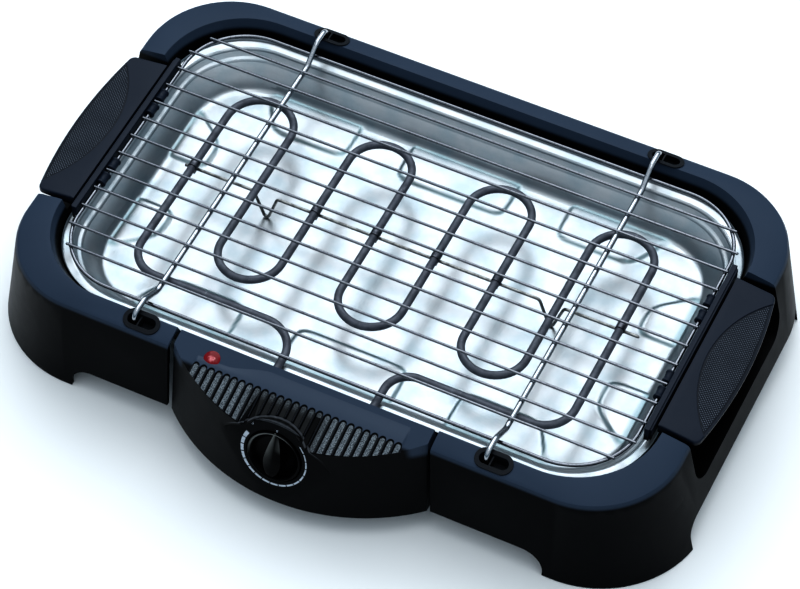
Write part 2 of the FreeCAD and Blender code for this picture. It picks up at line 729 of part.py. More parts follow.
pocket(drip_tray, lip_gate, 10, "lip_gate_cut", reverse=True)

edge_y = tray_floor_y - 0.9
edge_x = tray_floor_x - 0.9
long_pads = [
    [(-41, pad_y), (41, pad_y), (41, edge_y), (-41, edge_y)],
    [(80, pad_y), (137, pad_y), (151, edge_y), (80, edge_y)],
    [(-137, pad_y), (-80, pad_y), (-80, edge_y), (-151, edge_y)],
    [(pad_end_x, 21), (edge_x, 21), (edge_x, 68), (pad_end_x, 46)],
    [(-edge_x, 21), (-pad_end_x, 21), (-pad_end_x, 46), (-edge_x, 68)]]


def inset(corners, margin):
    """The corners of a convex outline moved inwards by a margin each way."""
    mid_x = sum(number(c[0]) for c in corners) / len(corners)
    mid_y = sum(number(c[1]) for c in corners) / len(corners)
    result = []
    for x, y in corners:
        move_x = -margin if number(x) > mid_x else margin
        move_y = -margin if number(y) > mid_y else margin
        result.append((x + move_x, y + move_y))
    return result


for i, corners in enumerate(long_pads):
    for side in (-1, 1):
        spots = [(x, y * side) for x, y in corners]
        tag = str(i) + ("_front" if side < 0 else "_rear")
        top = outline(sketch_on(drip_tray, "pad_top_" + tag, "XY_Plane",
                                tray_floor + sheet_metal), spots)
        pad(drip_tray, top, pad_rise, "pad_" + tag)
        under = outline(sketch_on(drip_tray, "pad_under_" + tag, "XY_Plane", tray_floor),
                        inset(spots, sheet_metal))
        pocket(drip_tray, under, pad_rise, "pad_hollow_" + tag, reverse=True)
keep("drip_tray", drip_tray)

# Wire rack
#
# Thirteen thin wires are welded on a rim wire. Two thick cross rods carry
# them; each rod climbs over the rim and the crest of the frame and turns
# down into its slots.

rack_grid = new_body("rack_grid")
rim_height = rack_height - wire_radius - ring_radius + 0.1
rim_path = rounded_frame(sketch_on(rack_grid, "rim_path", "XY_Plane", rim_height),
                         ring_x, ring_y, ring_corner)
rim_profile = sketch_on(rack_grid, "rim_profile", "YZ_Plane")
circle_at(rim_profile, -ring_y, rim_height, ring_radius)
pipe(rack_grid, rim_profile, rim_path, "rim_wire")
doc.recompute()
wires = sketch_on(rack_grid, "wires", "YZ_Plane")
circle_at(wires, -5 * wire_pitch, rack_height, wire_radius)
inner_wire = pad(rack_grid, wires, 2 * (ring_x + 2.4), "wire", midplane=True)
doc.recompute()
wire_rows = rack_grid.newObject("PartDesign::LinearPattern", "wire_rows")
wire_rows.Originals = [inner_wire]
wire_rows.Direction = (wires, ["H_Axis"])
bind(wire_rows, "Length", 10 * wire_pitch)
wire_rows.Occurrences = 11
rack_grid.Tip = wire_rows
doc.recompute()
end_wires = sketch_on(rack_grid, "end_wires", "YZ_Plane")
circle_at(end_wires, -6 * wire_pitch, rack_height, wire_radius)
circle_at(end_wires, 6 * wire_pitch, rack_height, wire_radius)
pad(rack_grid, end_wires, 2 * (ring_x - 5.2), "end_wire", midplane=True)
keep("rack_grid", rack_grid)


def bent_path(points, radii):
    """Straight runs joined by tangent arcs, as a list of edges."""
    corners = [Vector(*p) for p in points]
    edges = []
    start = corners[0]
    for i in range(1, len(corners) - 1):
        before = (corners[i - 1] - corners[i]).normalize()
        after = (corners[i + 1] - corners[i]).normalize()
        half = before.getAngle(after) / 2
        cut = radii[i - 1] / math.tan(half)
        enter = corners[i] + before * cut
        leave = corners[i] + after * cut
        middle = (before + after).normalize()
        centre = corners[i] + middle * (radii[i - 1] / math.sin(half))
        top = centre - middle * radii[i - 1]
        if (enter - start).Length > 1e-4:
            edges.append(Part.LineSegment(start, enter).toShape())
        edges.append(Part.Arc(enter, top, leave).toShape())
        start = leave
    edges.append(Part.LineSegment(start, corners[-1]).toShape())
    return edges


def bent_wire(name, points, radii, radius):
    """A round wire along straight runs and tangent arcs."""
    edges = bent_path(points, radii)
    path = Part.Wire(edges)
    heading = edges[0].tangentAt(edges[0].FirstParameter)
    ring = Part.Wire(Part.makeCircle(radius, Vector(*points[0]), heading))
    solid = path.makePipeShell([ring], True, False)
    feature = doc.addObject("Part::Feature", name)
    feature.Shape = solid
    length = sum(edge.Length for edge in edges)
    expected = math.pi * radius ** 2 * length
    print(name, "length", round(length), "volume ratio", round(solid.Volume / expected, 3))
    return feature


rod_low = (rack_height - wire_radius - rod_radius).value
for side, tag in ((-1, "left"), (1, "right")):
    x = side * rod_x.value
    half_rod = [(rod_end_y.value, rod_tip.value), (rod_end_y.value, rod_crown.value),
                (125.0, rod_crown.value), (109.0, rod_low)]
    rod_points = [(x, -y, z) for y, z in half_rod] + [(x, y, z) for y, z in reversed(half_rod)]
    name = "cross_rod_" + tag
    keep(name, bent_wire(name, rod_points, [5, 9, 9, 9, 9, 5], rod_radius.value))

# Heating element
#
# A tube element snakes over the tray in eight legs. Its two front runs turn
# into the control box.

heating_element = new_body("heating_element")
element_path = sketch_on(heating_element, "element_path", "XY_Plane", element_height)
legs = [-leg_first.value]
for i in range(7):
    legs.append(-leg_second.value + i * leg_pitch.value)
quarter = math.pi / 2
path_pieces = []


def line_to(x0, y0, x1, y1):
    path_pieces.append(Part.LineSegment(Vector(x0, y0, 0), Vector(x1, y1, 0)))


def arc_at(x, y, radius, start, end):
    circle = Part.Circle(Vector(x, y, 0), Vector(0, 0, 1), radius)
    path_pieces.append(Part.ArcOfCircle(circle, start, end))


run = -run_front.value
left_in = -entry_left.value
right_in = entry_right.value
deep = -entry_depth.value
r_left = entry_turn_left.value
r_right = entry_turn_right.value
r_turn = turn_radius.value
line_to(left_in, deep, left_in, run - r_left)
arc_at(left_in - r_left, run - r_left, r_left, 0, quarter)
line_to(left_in - r_left, run, legs[0] + r_turn, run)
arc_at(legs[0] + r_turn, run + r_turn, r_turn, math.pi, 3 * quarter)
y_now = run + r_turn
for i in range(7):
    r = (legs[i + 1] - legs[i]) / 2
    middle = (legs[i + 1] + legs[i]) / 2
    rear = i % 2 == 0
    y_bend = bend_rear.value - r if rear else r - bend_front.value
    line_to(legs[i], y_now, legs[i], y_bend)
    arc_at(middle, y_bend, r, 0 if rear else math.pi, math.pi if rear else 2 * math.pi)
    y_now = y_bend
line_to(legs[7], y_now, legs[7], run + r_turn)
arc_at(legs[7] - r_turn, run + r_turn, r_turn, 3 * quarter, 4 * quarter)
line_to(legs[7] - r_turn, run, right_in + r_right, run)
arc_at(right_in + r_right, run - r_right, r_right, quarter, math.pi)
line_to(right_in, run - r_right, right_in, deep)
element_path.addGeometry(path_pieces)
element_profile = sketch_on(heating_element, "element_profile", "XZ_Plane", entry_depth)
circle_at(element_profile, -entry_left, element_height, element_radius)
pipe(heating_element, element_profile, element_path, "element_tube")
keep("heating_element", heating_element)

# Support wire and clips
#
# A thin wire carries the legs from below. It stands on the tray's floor with
# two bent feet, and sheet clips hold six of the legs to it.

stay_z = (element_height - element_radius - stay_radius).value
stay_y = 2.0
foot_z = (tray_floor + sheet_metal + stay_radius).value + 0.5
stay_points = [(-166, stay_y, stay_z)]
for x in (-104.0, 109.0):
    stay_points += [(x - 9, stay_y, stay_z), (x - 1.6, stay_y, foot_z),
                    (x + 1.6, stay_y, foot_z), (x + 9, stay_y, stay_z)]
stay_points.append((172, stay_y, stay_z))
stay_radii = [3.0, 1.5, 1.5, 3.0, 3.0, 1.5, 1.5, 3.0]
keep("support_wire", bent_wire("support_wire", stay_points, stay_radii, stay_radius.value))

clip_parts = []
clip_legs = [legs[i] for i in (0, 2, 3, 4, 5, 7)]
for i, x in enumerate(clip_legs):
    outer = cylinder("clip_outer_" + str(i), element_radius + clip_sheet, clip_width,
                     (x, stay_y - clip_width.value / 2, element_height), (0, 1, 0))
    tab = block("clip_tab_" + str(i), 3, clip_width, 5,
                (x - 1.5, stay_y - clip_width.value / 2, stay_z - 2.4))
    clip_parts.append(boolean("Fuse", "clip_blank_" + str(i), outer, tab))
clips_blank = boolean("Fuse", "clips_blank", *clip_parts)
tube_cores = [cylinder("clip_core_" + str(i), element_radius + 0.02, 20,
                       (x, stay_y - 10, element_height), (0, 1, 0))
              for i, x in enumerate(clip_legs)]
stay_core = cylinder("stay_core", stay_radius + 0.02, 400, (-200, stay_y, stay_z), (1, 0, 0))
keep("element_clips", boolean("Cut", "element_clips", clips_blank, *tube_cores, stay_core))

# Control box
#
# The box fills the front gap of the frame. Its plan is bowed, its top goes on
# with the slope of the band and is ribbed, and a flat for the dial is cut
# into the bow. Inside it is hollow; a plate closes it from below.


def bowed_plan(body, name, height, half, end_y, bow_y, back_y):
    """The plan of the box: straight back and sides, bowed front."""
    sketch = sketch_on(body, name, "XY_Plane", height)
    left = -number(half) - box_shift.value
    right = number(half) - box_shift.value
    ye = -number(end_y)
    yb = -number(bow_y)
    yk = -number(back_y)
    corners = [Vector(left, ye, 0), Vector(left, yk, 0), Vector(right, yk, 0), Vector(right, ye, 0)]
    for i in range(3):
        sketch.addGeometry(Part.LineSegment(corners[i], corners[i + 1]))
    sketch.addGeometry(Part.Arc(corners[0], Vector(-box_shift.value, yb, 0), corners[3]))
    constrain(sketch, "Coincident", 0, 2, 1, 1)
    constrain(sketch, "Coincident", 1, 2, 2, 1)
    constrain(sketch, "Coincident", 2, 2, 3, 2)
    constrain(sketch, "Coincident", 3, 1, 0, 1)
    constrain(sketch, "DistanceX", -1, 1, 0, 1, -half - box_shift)
    constrain(sketch, "DistanceY", -1, 1, 0, 1, -end_y)
    constrain(sketch, "DistanceX", -1, 1, 1, 1, -half - box_shift)
    constrain(sketch, "DistanceY", -1, 1, 1, 1, -back_y)
    constrain(sketch, "DistanceX", -1, 1, 2, 1, half - box_shift)
    constrain(sketch, "DistanceY", -1, 1, 2, 1, -back_y)
    constrain(sketch, "DistanceX", -1, 1, 3, 2, half - box_shift)
    constrain(sketch, "DistanceY", -1, 1, 3, 2, -end_y)
    drop = bow_y - end_y
    constrain(sketch, "Radius", 3, (half * half + drop * drop) / (2 * drop))
    return sketch


def bowed_block(name, inset_by, low, high):
    """A solid with the bowed plan, inset all round, between two heights."""
    body = new_body(name)
    share_low = (low - box_bottom) / (crest_height - box_bottom)
    share_high = (high - box_bottom) / (crest_height - box_bottom)
    sketches = []
    for tag, share, height in (("_low", share_low, low), ("_high", share_high, high)):
        half = box_base + (box_top - box_base) * share - inset_by
        ends = bow_ends_bottom + (bow_ends_top - bow_ends_bottom) * share - inset_by
        bow = bow_bottom + (bow_top - bow_bottom) * share - inset_by
        sketches.append(bowed_plan(body, name + tag, height, half, ends, bow,
                                   box_back + inset_by))
    loft(body, sketches, name + "_loft")
    return body


def box_section(name, drop, back):
    """The side view of the box: sloping top and, at the back, the well's slope."""
    top = crest_height - drop
    rear_top = crest_y + 0.5 + back
    far = 70
    return side_block(name, "YZ_Plane", [
        (-box_back - back, 0), (-box_back - back, well_height - drop),
        (-rear_top, top - 0.1), (-crest_y - far, top - band_fall * far),
        (-crest_y - far, 0)], 300)


box_blank = boolean("Common", "box_blank", bowed_block("box_plan", Size("0.0", 0.0), box_bottom,
                                                      crest_height + 2),
                    box_section("box_side", Size("0.0", 0.0), Size("0.0", 0.0)))
box_room = boolean("Common", "box_room", bowed_block("room_plan", box_wall, box_bottom - 1,
                                                    crest_height + 2),
                   box_section("room_side", box_wall, box_wall))
box_raised = boolean("Common", "box_raised", bowed_block("raised_plan", Size("1.2", 1.2),
                                                        box_bottom + 40, crest_height + 2),
                     box_section("raised_side", -rib_rise, Size("1.2", 1.2)))

tilt = math.radians(dial_tilt.value)
dial_normal = Vector(0, -math.cos(tilt), math.sin(tilt))
dial_centre = Vector(dial_x.value, -dial_y.value, dial_z.value)
dial_turn = Rotation(Vector(1, 0, 0), 90 - dial_tilt.value)


def on_dial(feature, depth):
    """Stands a piece on the dial's flat, its own Z along the dial's normal."""
    feature.Placement = FreeCAD.Placement(dial_centre + dial_normal * depth, dial_turn)
    return feature


def below_dial(feature, depth):
    """Stands a piece square to the dial's face, over the middle of the arch above the dial."""
    down = dial_turn.multVec(Vector(0, -face_drop.value, 0))
    feature.Placement = FreeCAD.Placement(dial_centre + dial_normal * depth + down, dial_turn)
    return feature


in_front = 60
face = below_dial(cylinder("face", face_radius, in_front, (0, 0, 0)), 0)
face_shell = below_dial(cylinder("face_shell", face_radius + box_wall, in_front, (0, 0, 0)),
                        -recess_wall.value)
hood_length = 7
hood_round = below_dial(cylinder("hood_round", face_radius + hood, hood_length, (0, 0, 0)),
                        -hood_length)
hood_reach = block("hood_reach", 50, 40, 30, (dial_x - 25, -dial_y - 10, 70))
hood_ring = boolean("Common", "hood_ring", hood_round, hood_reach)
sink_hole = on_dial(cylinder("sink_hole", sink_radius, in_front, (0, 0, 0)), -sink.value)
sink_shell = on_dial(cylinder("sink_shell", sink_radius + recess_wall, in_front, (0, 0, 0)),
                     -sink.value - recess_wall.value)
shaft_hole = on_dial(cylinder("shaft_hole", neck_radius + 0.15, 30, (0, 0, 0)),
                     -sink.value - 15)

ribs = new_body("ribs")
rib_plan = sketch_on(ribs, "rib_plan", "XY_Plane", 70)
first_rib = -(rib_count.value - 1) / 2 * rib_pitch.value - rib_shift.value
half_rib = rib_width.value / 2
rear = -rib_rear.value - half_rib
rib_far = -200
rib_plan.addGeometry(Part.LineSegment(Vector(first_rib - half_rib, rear, 0),
                                      Vector(first_rib - half_rib, rib_far, 0)))
rib_plan.addGeometry(Part.LineSegment(Vector(first_rib - half_rib, rib_far, 0),
                                      Vector(first_rib + half_rib, rib_far, 0)))
rib_plan.addGeometry(Part.LineSegment(Vector(first_rib + half_rib, rib_far, 0),
                                      Vector(first_rib + half_rib, rear, 0)))
rib_plan.addGeometry(Part.ArcOfCircle(
    Part.Circle(Vector(first_rib, rear, 0), Vector(0, 0, 1), half_rib), 0, math.pi))
for i in range(4):
    constrain(rib_plan, "Coincident", i, 2, (i + 1) % 4, 1)
rib_pad = pad(ribs, rib_plan, 30, "rib")
doc.recompute()
rib_row = ribs.newObject("PartDesign::LinearPattern", "rib_row")
rib_row.Originals = [rib_pad]
rib_row.Direction = (rib_plan, ["H_Axis"])
bind(rib_row, "Length", (rib_count - 1) * rib_pitch)
rib_row.Occurrences = int(rib_count.value)
ribs.Tip = rib_row
rib_solids = boolean("Common", "rib_solids", box_raised, ribs)

top_angle = math.atan(number(band_fall))
lens_z = crest_height.value - number(band_fall) * (lens_y.value - crest_y.value)
top_normal = (0, -math.sin(top_angle), math.cos(top_angle))
lens_spot = Vector(lens_x.value, -lens_y.value, lens_z)


def on_top(name, radius, length, depth):
    """A round bar square to the box's top at the lamp lens."""
    start = lens_spot + Vector(*top_normal) * depth
    return cylinder(name, radius, length, tuple(start), top_normal)


lens_hole = on_top("lens_hole", lens_radius - 1.3, 20, -10)
lens_seat = on_top("lens_seat", lens_radius + 0.1, 6, 0.0)
boss_spots = [(x - box_shift.value, y)
              for x, y in ((-82, -141), (82, -141), (-45, -163), (45, -163))]
bosses = []
boss_holes = []
for i, (x, y) in enumerate(boss_spots):
    bosses.append(cylinder("boss_" + str(i), boss_radius, 68,
                           (x, y, box_bottom + cover_sheet + 0.3)))
    boss_holes.append(cylinder("boss_hole_" + str(i), screw_radius + 0.05, 14,
                               (x, y, box_bottom)))
boss_parts = boolean("Common", "boss_parts", boolean("Fuse", "boss_cores", *bosses), box_blank)
entry_holes = [cylinder("entry_hole_" + str(i), element_radius + 0.5, 20,
                        (x, -box_back - 10, element_height), (0, 1, 0))
               for i, x in enumerate((-entry_left, entry_right))]
plate_seats = [block("plate_seat_" + str(i), 4, 2.6, 12, (x, -box_back - box_wall - 2.1, 59))
               for i, x in enumerate((-48, 56))]
box_free = boolean("Cut", "box_free", box_room, face_shell, sink_shell)
box_shell = boolean("Cut", "box_shell", box_blank, box_free)
box_whole = boolean("Fuse", "box_whole", box_shell, rib_solids, hood_ring, boss_parts,
                    *plate_seats)
keep("control_housing", boolean("Cut", "control_housing", box_whole, face, sink_hole, shaft_hole,
                                lens_hole, lens_seat, *entry_holes, *boss_holes))

cover_plate = bowed_block("cover_plate", box_wall + 0.3, box_bottom, box_bottom + cover_sheet)
cover_holes = [cylinder("cover_hole_" + str(i), screw_radius + 0.15, 20, (x, y, box_bottom - 5))
               for i, (x, y) in enumerate(boss_spots)]
cover_sinks = [cylinder("cover_sink_" + str(i), 2 * screw_radius + 0.2, 1.2,
                        (x, y, box_bottom - 0.01)) for i, (x, y) in enumerate(boss_spots)]
gland_hole = cylinder("gland_hole", gland_bore + 2.6, 20, (gland_x, -gland_y, box_bottom - 5))
keep("bottom_cover", boolean("Cut", "bottom_cover", cover_plate, gland_hole, *cover_holes,
                             *cover_sinks))

screw_parts = []
for i, (x, y) in enumerate(boss_spots):
    screw_parts.append(cylinder("screw_" + str(i), screw_radius, 12.6, (x, y, box_bottom + 0.1)))
    screw_parts.append(cylinder("screw_head_" + str(i), 2 * screw_radius, 1.0,
                                (x, y, box_bottom + 0.1)))
keep("housing_screws", boolean("Fuse", "housing_screws", *screw_parts))

# Pieces inside the box
#
# The tube element ends in two pins with ceramic beads, held by a steel plate
# behind the rear wall. The thermostat sits behind the dial, and the neon
# lamp under its lens.

plate_y = -(box_back + box_wall) - 2.15
element_plate = new_body("element_plate")
plate_sketch = outline(sketch_on(element_plate, "plate_outline", "XZ_Plane", -plate_y), [
    (-48, 60), (60, 60), (60, 79.5), (-48, 79.5)])
circle_at(plate_sketch, -entry_left, element_height, element_radius + 0.05)
circle_at(plate_sketch, entry_right, element_height, element_radius + 0.05)
pad(element_plate, plate_sketch, 1.2, "plate_pad")
keep("element_plate", element_plate)

pin_parts = []
bead_parts = []
for i, x in enumerate((-entry_left, entry_right)):
    pin_parts.append(cylinder("pin_" + str(i), 1.2, 10, (x, -entry_depth, element_height), (0, -1, 0)))
    bead_parts.append(boolean("Cut", "bead_" + str(i), cylinder(
        "bead_outer_" + str(i), element_radius, 3, (x, -entry_depth, element_height), (0, -1, 0)),
        cylinder("bead_bore_" + str(i), 1.22, 5, (x, -entry_depth + 1, element_height), (0, -1, 0))))
keep("terminal_pins", boolean("Fuse", "terminal_pins", *pin_parts))
keep("ceramic_beads", boolean("Fuse", "ceramic_beads", *bead_parts))

thermostat_case = block("thermostat_case", 34, 30, 16, (-17, -15, 0))
case_corner = dial_turn.multVec(Vector(-17, -15, 0))
case_top = -sink.value - recess_wall.value - 2.2
thermostat_case.Placement = FreeCAD.Placement(
    dial_centre + dial_normal * (case_top - 16) + case_corner, dial_turn)
thermostat_neck = on_dial(cylinder("thermostat_neck", neck_radius, 2.2 + 2.6, (0, 0, 0)), case_top)
shaft_bore = on_dial(cylinder("shaft_bore", shaft_radius + 0.05, 40, (0, 0, 0)), case_top - 10)
thermostat_blank = boolean("Fuse", "thermostat_blank", thermostat_case, thermostat_neck)
keep("thermostat", boolean("Cut", "thermostat", thermostat_blank, shaft_bore))
bracket_plate = block("bracket_plate", 44, 24, 1.0, (-22, -12, 0))
bracket_corner = dial_turn.multVec(Vector(-22, -12, 0))
bracket_plate.Placement = FreeCAD.Placement(
    dial_centre + dial_normal * (case_top + 0.05) + bracket_corner, dial_turn)
bracket_hole = on_dial(cylinder("bracket_hole", neck_radius + 0.1, 10, (0, 0, 0)), case_top - 4)
keep("thermostat_bracket", boolean("Cut", "thermostat_bracket", bracket_plate, bracket_hole))

terminal_case = block("terminal_case", 36, 16, 14, (18, -156, box_bottom + cover_sheet + 1.0))
terminal_bores = [cylinder("terminal_bore_" + str(i), 2.2, 12,
                           (18 + 6 + 12 * i, -148, box_bottom + cover_sheet + 5.0))
                  for i in range(3)]
keep("terminal_block", boolean("Cut", "terminal_block", terminal_case, *terminal_bores))

lens_stem = on_top("lens_stem", lens_radius - 1.5, 4.3, -4.0)
lens_ball = doc.addObject("Part::Sphere", "lens_ball")
ball_radius = 12
lens_ball.Radius = ball_radius
ball_sink = math.sqrt(ball_radius ** 2 - lens_radius.value ** 2)
lens_ball.Placement = FreeCAD.Placement(
    lens_spot - Vector(*top_normal) * (ball_sink - 0.3), Rotation())
lens_cap = boolean("Common", "lens_cap", lens_ball, on_top("lens_cap_core", lens_radius, 10, 0.0))
lens_body = boolean("Fuse", "lens_body", lens_cap, lens_stem)
keep("indicator_lens", boolean("Cut", "indicator_lens", lens_body,
                               on_top("lens_bore", lens_radius - 3, 4.5, -5.0)))
lamp_tube = on_top("lamp_tube", lens_radius - 3.4, 11.1, -14.5)
lamp_tip = doc.addObject("Part::Sphere", "lamp_tip")
bind(lamp_tip, "Radius", lens_radius - 3.4)
lamp_tip.Placement = FreeCAD.Placement(lens_spot - Vector(*top_normal) * 3.4, Rotation())
keep("neon_lamp", boolean("Fuse", "neon_lamp", lamp_tube, lamp_tip))

switch_case = block("switch_case", 20, 6.4, 10.3, (-78, -141, 40))
switch_pin = block("switch_pin", 3, 3, 2, (-69.5, -139.4, 50.3))
keep("safety_switch", boolean("Fuse", "safety_switch", switch_case, switch_pin))

gland_low = box_bottom - 1.65
gland_body = cylinder("gland_body", gland_bore + 2.4, gland_length, (gland_x, -gland_y, gland_low))
gland_nose = cylinder("gland_nose", gland_bore + 4.4, 1.6, (gland_x, -gland_y, gland_low))
gland_flange = cylinder("gland_flange", gland_bore + 4.4, 2.2,
                        (gland_x, -gland_y, box_bottom + cover_sheet + 0.05))
gland_bore_tool = cylinder("gland_bore_tool", gland_bore, 30, (gland_x, -gland_y, gland_low - 5))
keep("cord_gland", boolean("Cut", "cord_gland", boolean(
    "Fuse", "gland_blank", gland_body, gland_flange, gland_nose), gland_bore_tool))

# Knob
#
# The knob stands in a round well of the box, its rim level with the dial's
# face. Its dished front leaves a leaf-shaped grip that narrows towards the
# mark at the top of the dial. Its hub holds the flatted shaft with a spring.

control_knob = new_body("control_knob")
knob_section = sketch_on(control_knob, "knob_section", "XZ_Plane")
skirt_gap = 0.6
underside = 1.6
rim = 10.2
outline(knob_section, [
    (0, underside), (knob_radius - 2.4, underside), (knob_radius - 2.4, skirt_gap),
    (knob_radius, skirt_gap), (knob_radius, rim - 0.6), (knob_radius - 0.6, rim),
    (knob_radius - 1.6, rim), (knob_radius - 3.7, rim - 2.7), (knob_radius - 6.2, rim - 5.2),
    (0, rim - 6.4)])
turned = control_knob.newObject("PartDesign::Revolution", "knob_skirt")
turned.Profile = knob_section
turned.ReferenceAxis = (knob_section, ["V_Axis"])
turned.Angle = 360
grip_plan = sketch_on(control_knob, "grip_plan", "XY_Plane", 3.0)
half_leaf = [(1.4, 18.4), (3.2, 13.5), (5.2, 6.0), (6.3, -1.5), (6.4, -6.0), (5.7, -11.0),
             (3.6, -15.6)]
outline(grip_plan, half_leaf + [(-x, y) for x, y in reversed(half_leaf)])
grip_pad = pad(control_knob, grip_plan, knob_depth - 3.0, "knob_grip")
grip_pad.TaperAngle = -4
grip_slope = outline(sketch_on(control_knob, "grip_slope", "YZ_Plane"), [
    (-3, knob_depth), (20, knob_depth - 1.9), (20, knob_depth + 3), (-3, knob_depth + 3)])
pocket(control_knob, grip_slope, 40, "grip_sloped", midplane=True)
hub_plan = sketch_on(control_knob, "hub_plan", "XY_Plane", underside - 0.6)
circle_at(hub_plan, 0, 0, shaft_radius + 2.4)
pad(control_knob, hub_plan, 1.0, "knob_hub")
doc.recompute()
bore_plan = sketch_on(control_knob, "bore_plan", "XY_Plane", 0)
circle_at(bore_plan, 0, 0, shaft_radius + 0.02)
pocket(control_knob, bore_plan, 10.2, "knob_bore", reverse=True)
on_dial(control_knob, -sink.value)
keep("control_knob", control_knob)

shaft_round = on_dial(cylinder("shaft_round", shaft_radius, 19, (0, 0, 0)), -sink.value - 9)
shaft_flat = block("shaft_flat", 10, 3, 12, (-5, 1.9, 0))
flat_corner = dial_turn.multVec(Vector(-5, 1.9, 0))
shaft_flat.Placement = FreeCAD.Placement(
    dial_centre + dial_normal * (2 - sink.value) + flat_corner, dial_turn)
keep("switch_shaft", boolean("Cut", "switch_shaft", shaft_round, shaft_flat))
spring_leaf = block("spring_leaf", 2.4, 0.8, 7, (-1.2, 1.95, 0))
leaf_corner = dial_turn.multVec(Vector(-1.2, 1.95, 0))
spring_leaf.Placement = FreeCAD.Placement(
    dial_centre + dial_normal * (2.6 - sink.value) + leaf_corner, dial_turn)
keep("knob_spring", spring_leaf)

# Handles
#
# Each handle is a carrier and a grip. The carrier has an upright guard plate
# and four barrels that snap on the rim wire; the bulging grip is screwed on
# its shelf and reaches over the finger scoop.


def make_carrier(name):
    guard = block(name + "_guard", 3.4, 2 * guard_half, 11.6,
                  (grip_inner - 6.4, -guard_half, well_height + 0.9))
    ridge = block(name + "_ridge", 1.2, 2 * guard_half - 3, 10.2,
                  (grip_inner - 3.0, -guard_half + 1.5, well_height + 0.9))
    shelf = block(name + "_shelf", 20.4, 2 * grip_half - 16, grip_bottom - well_height - 0.9,
                  (grip_inner - 3.0, -grip_half + 8, well_height + 0.9))
    parts = [guard, ridge, shelf]
    bores = []
    for i, side in enumerate((-1, 1)):
        for j, shift in enumerate((-0.5, 0.5)):
            y = side * barrel_y + shift * barrel_gap - 4.5
            tag = name + "_barrel_" + str(2 * i + j)
            parts.append(cylinder(tag, 3.0, 9, (ring_x, y, rim_height), (0, 1, 0)))
            bores.append(cylinder(tag + "_bore", ring_radius + 0.02, 20,
                                  (ring_x, y - 5, rim_height), (0, 1, 0)))
    solid = boolean("Fuse", name + "_blank", *parts)
    holes = [cylinder(name + "_hole_" + str(i), 2.1, 10, (grip_inner + 8.4, y, 70))
             for i, y in enumerate((-40, 40))]
    return boolean("Cut", name, solid, *bores, *holes)


def make_grip(name):
    body = new_body(name + "_form")
    plan = sketch_on(body, name + "_plan", "XY_Plane", grip_bottom)
    inner = grip_inner.value
    outer = grip_outer.value
    half = grip_half.value
    plan.addGeometry(Part.LineSegment(Vector(outer, -half, 0), Vector(inner, -half, 0)))
    plan.addGeometry(Part.LineSegment(Vector(inner, -half, 0), Vector(inner, half, 0)))
    plan.addGeometry(Part.LineSegment(Vector(inner, half, 0), Vector(outer, half, 0)))
    plan.addGeometry(Part.Arc(Vector(outer, -half, 0), Vector(grip_bulge.value, 0, 0),
                              Vector(outer, half, 0)))
    constrain(plan, "Coincident", 0, 2, 1, 1)
    constrain(plan, "Coincident", 1, 2, 2, 1)
    constrain(plan, "Coincident", 2, 2, 3, 2)
    constrain(plan, "Coincident", 3, 1, 0, 1)
    for geo, point, x, y in ((0, 1, grip_outer, -grip_half), (1, 1, grip_inner, -grip_half),
                             (2, 1, grip_inner, grip_half), (3, 2, grip_outer, grip_half)):
        constrain(plan, "DistanceX", -1, 1, geo, point, x)
        constrain(plan, "DistanceY", -1, 1, geo, point, y)
    bulge = grip_bulge - grip_outer
    constrain(plan, "Radius", 3, (grip_half * grip_half + bulge * bulge) / (2 * bulge))
    bar = pad(body, plan, grip_top - grip_bottom, name + "_bar")
    doc.recompute()
    uprights = []
    for i, edge in enumerate(bar.Shape.Edges):
        box = edge.BoundBox
        if box.XLength + box.YLength < 0.01 and box.XMax > outer - 1:
            uprights.append("Edge" + str(i + 1))
    corner_round = body.newObject("PartDesign::Fillet", name + "_corner")
    corner_round.Base = (bar, uprights)
    corner_round.Radius = 5
    doc.recompute()
    slope = outline(sketch_on(body, name + "_slope", "XZ_Plane"), [
        (grip_inner + 3, grip_top), (grip_bulge + 2, grip_top - 5.2),
        (grip_bulge + 2, grip_top + 5), (grip_inner + 3, grip_top + 5)])
    sloped = pocket(body, slope, 200, name + "_sloped", midplane=True)
    doc.recompute()
    rims = []
    for i, edge in enumerate(sloped.Shape.Edges):
        box = edge.BoundBox
        if box.ZMin > grip_bottom.value + 0.5 and box.XMin > inner + 1 and box.XLength > 0.5:
            rims.append("Edge" + str(i + 1))
    rim_round = body.newObject("PartDesign::Fillet", name + "_rim")
    rim_round.Base = (sloped, rims)
    rim_round.Radius = 1.4
    holes = [cylinder(name + "_hole_" + str(i), 1.55, 4.6, (grip_inner + 8.4, y, grip_bottom - 1))
             for i, y in enumerate((-40, 40))]
    far = grip_bulge.value + 1.5
    leaf_inner = 6.5
    sag = far - inner - leaf_inner
    leaf_radius = (half ** 2 + sag ** 2) / (2 * sag)
    leaf_disc = cylinder(name + "_leaf_disc", leaf_radius, 30,
                         (inner + leaf_inner + leaf_radius, 0, grip_bottom + 1))
    below = block(name + "_leaf_slab", 60, 200, 20, (0, -100, 0))
    lean = -math.degrees(math.atan(5.2 / (grip_bulge.value - inner - 1)))
    below.Placement = FreeCAD.Placement(
        Vector(inner + 3, -100, grip_top.value - 0.7), Rotation(Vector(0, 1, 0), -lean))
    leaf = boolean("Common", name + "_leaf", leaf_disc, below)
    return boolean("Cut", name, body, leaf, *holes)


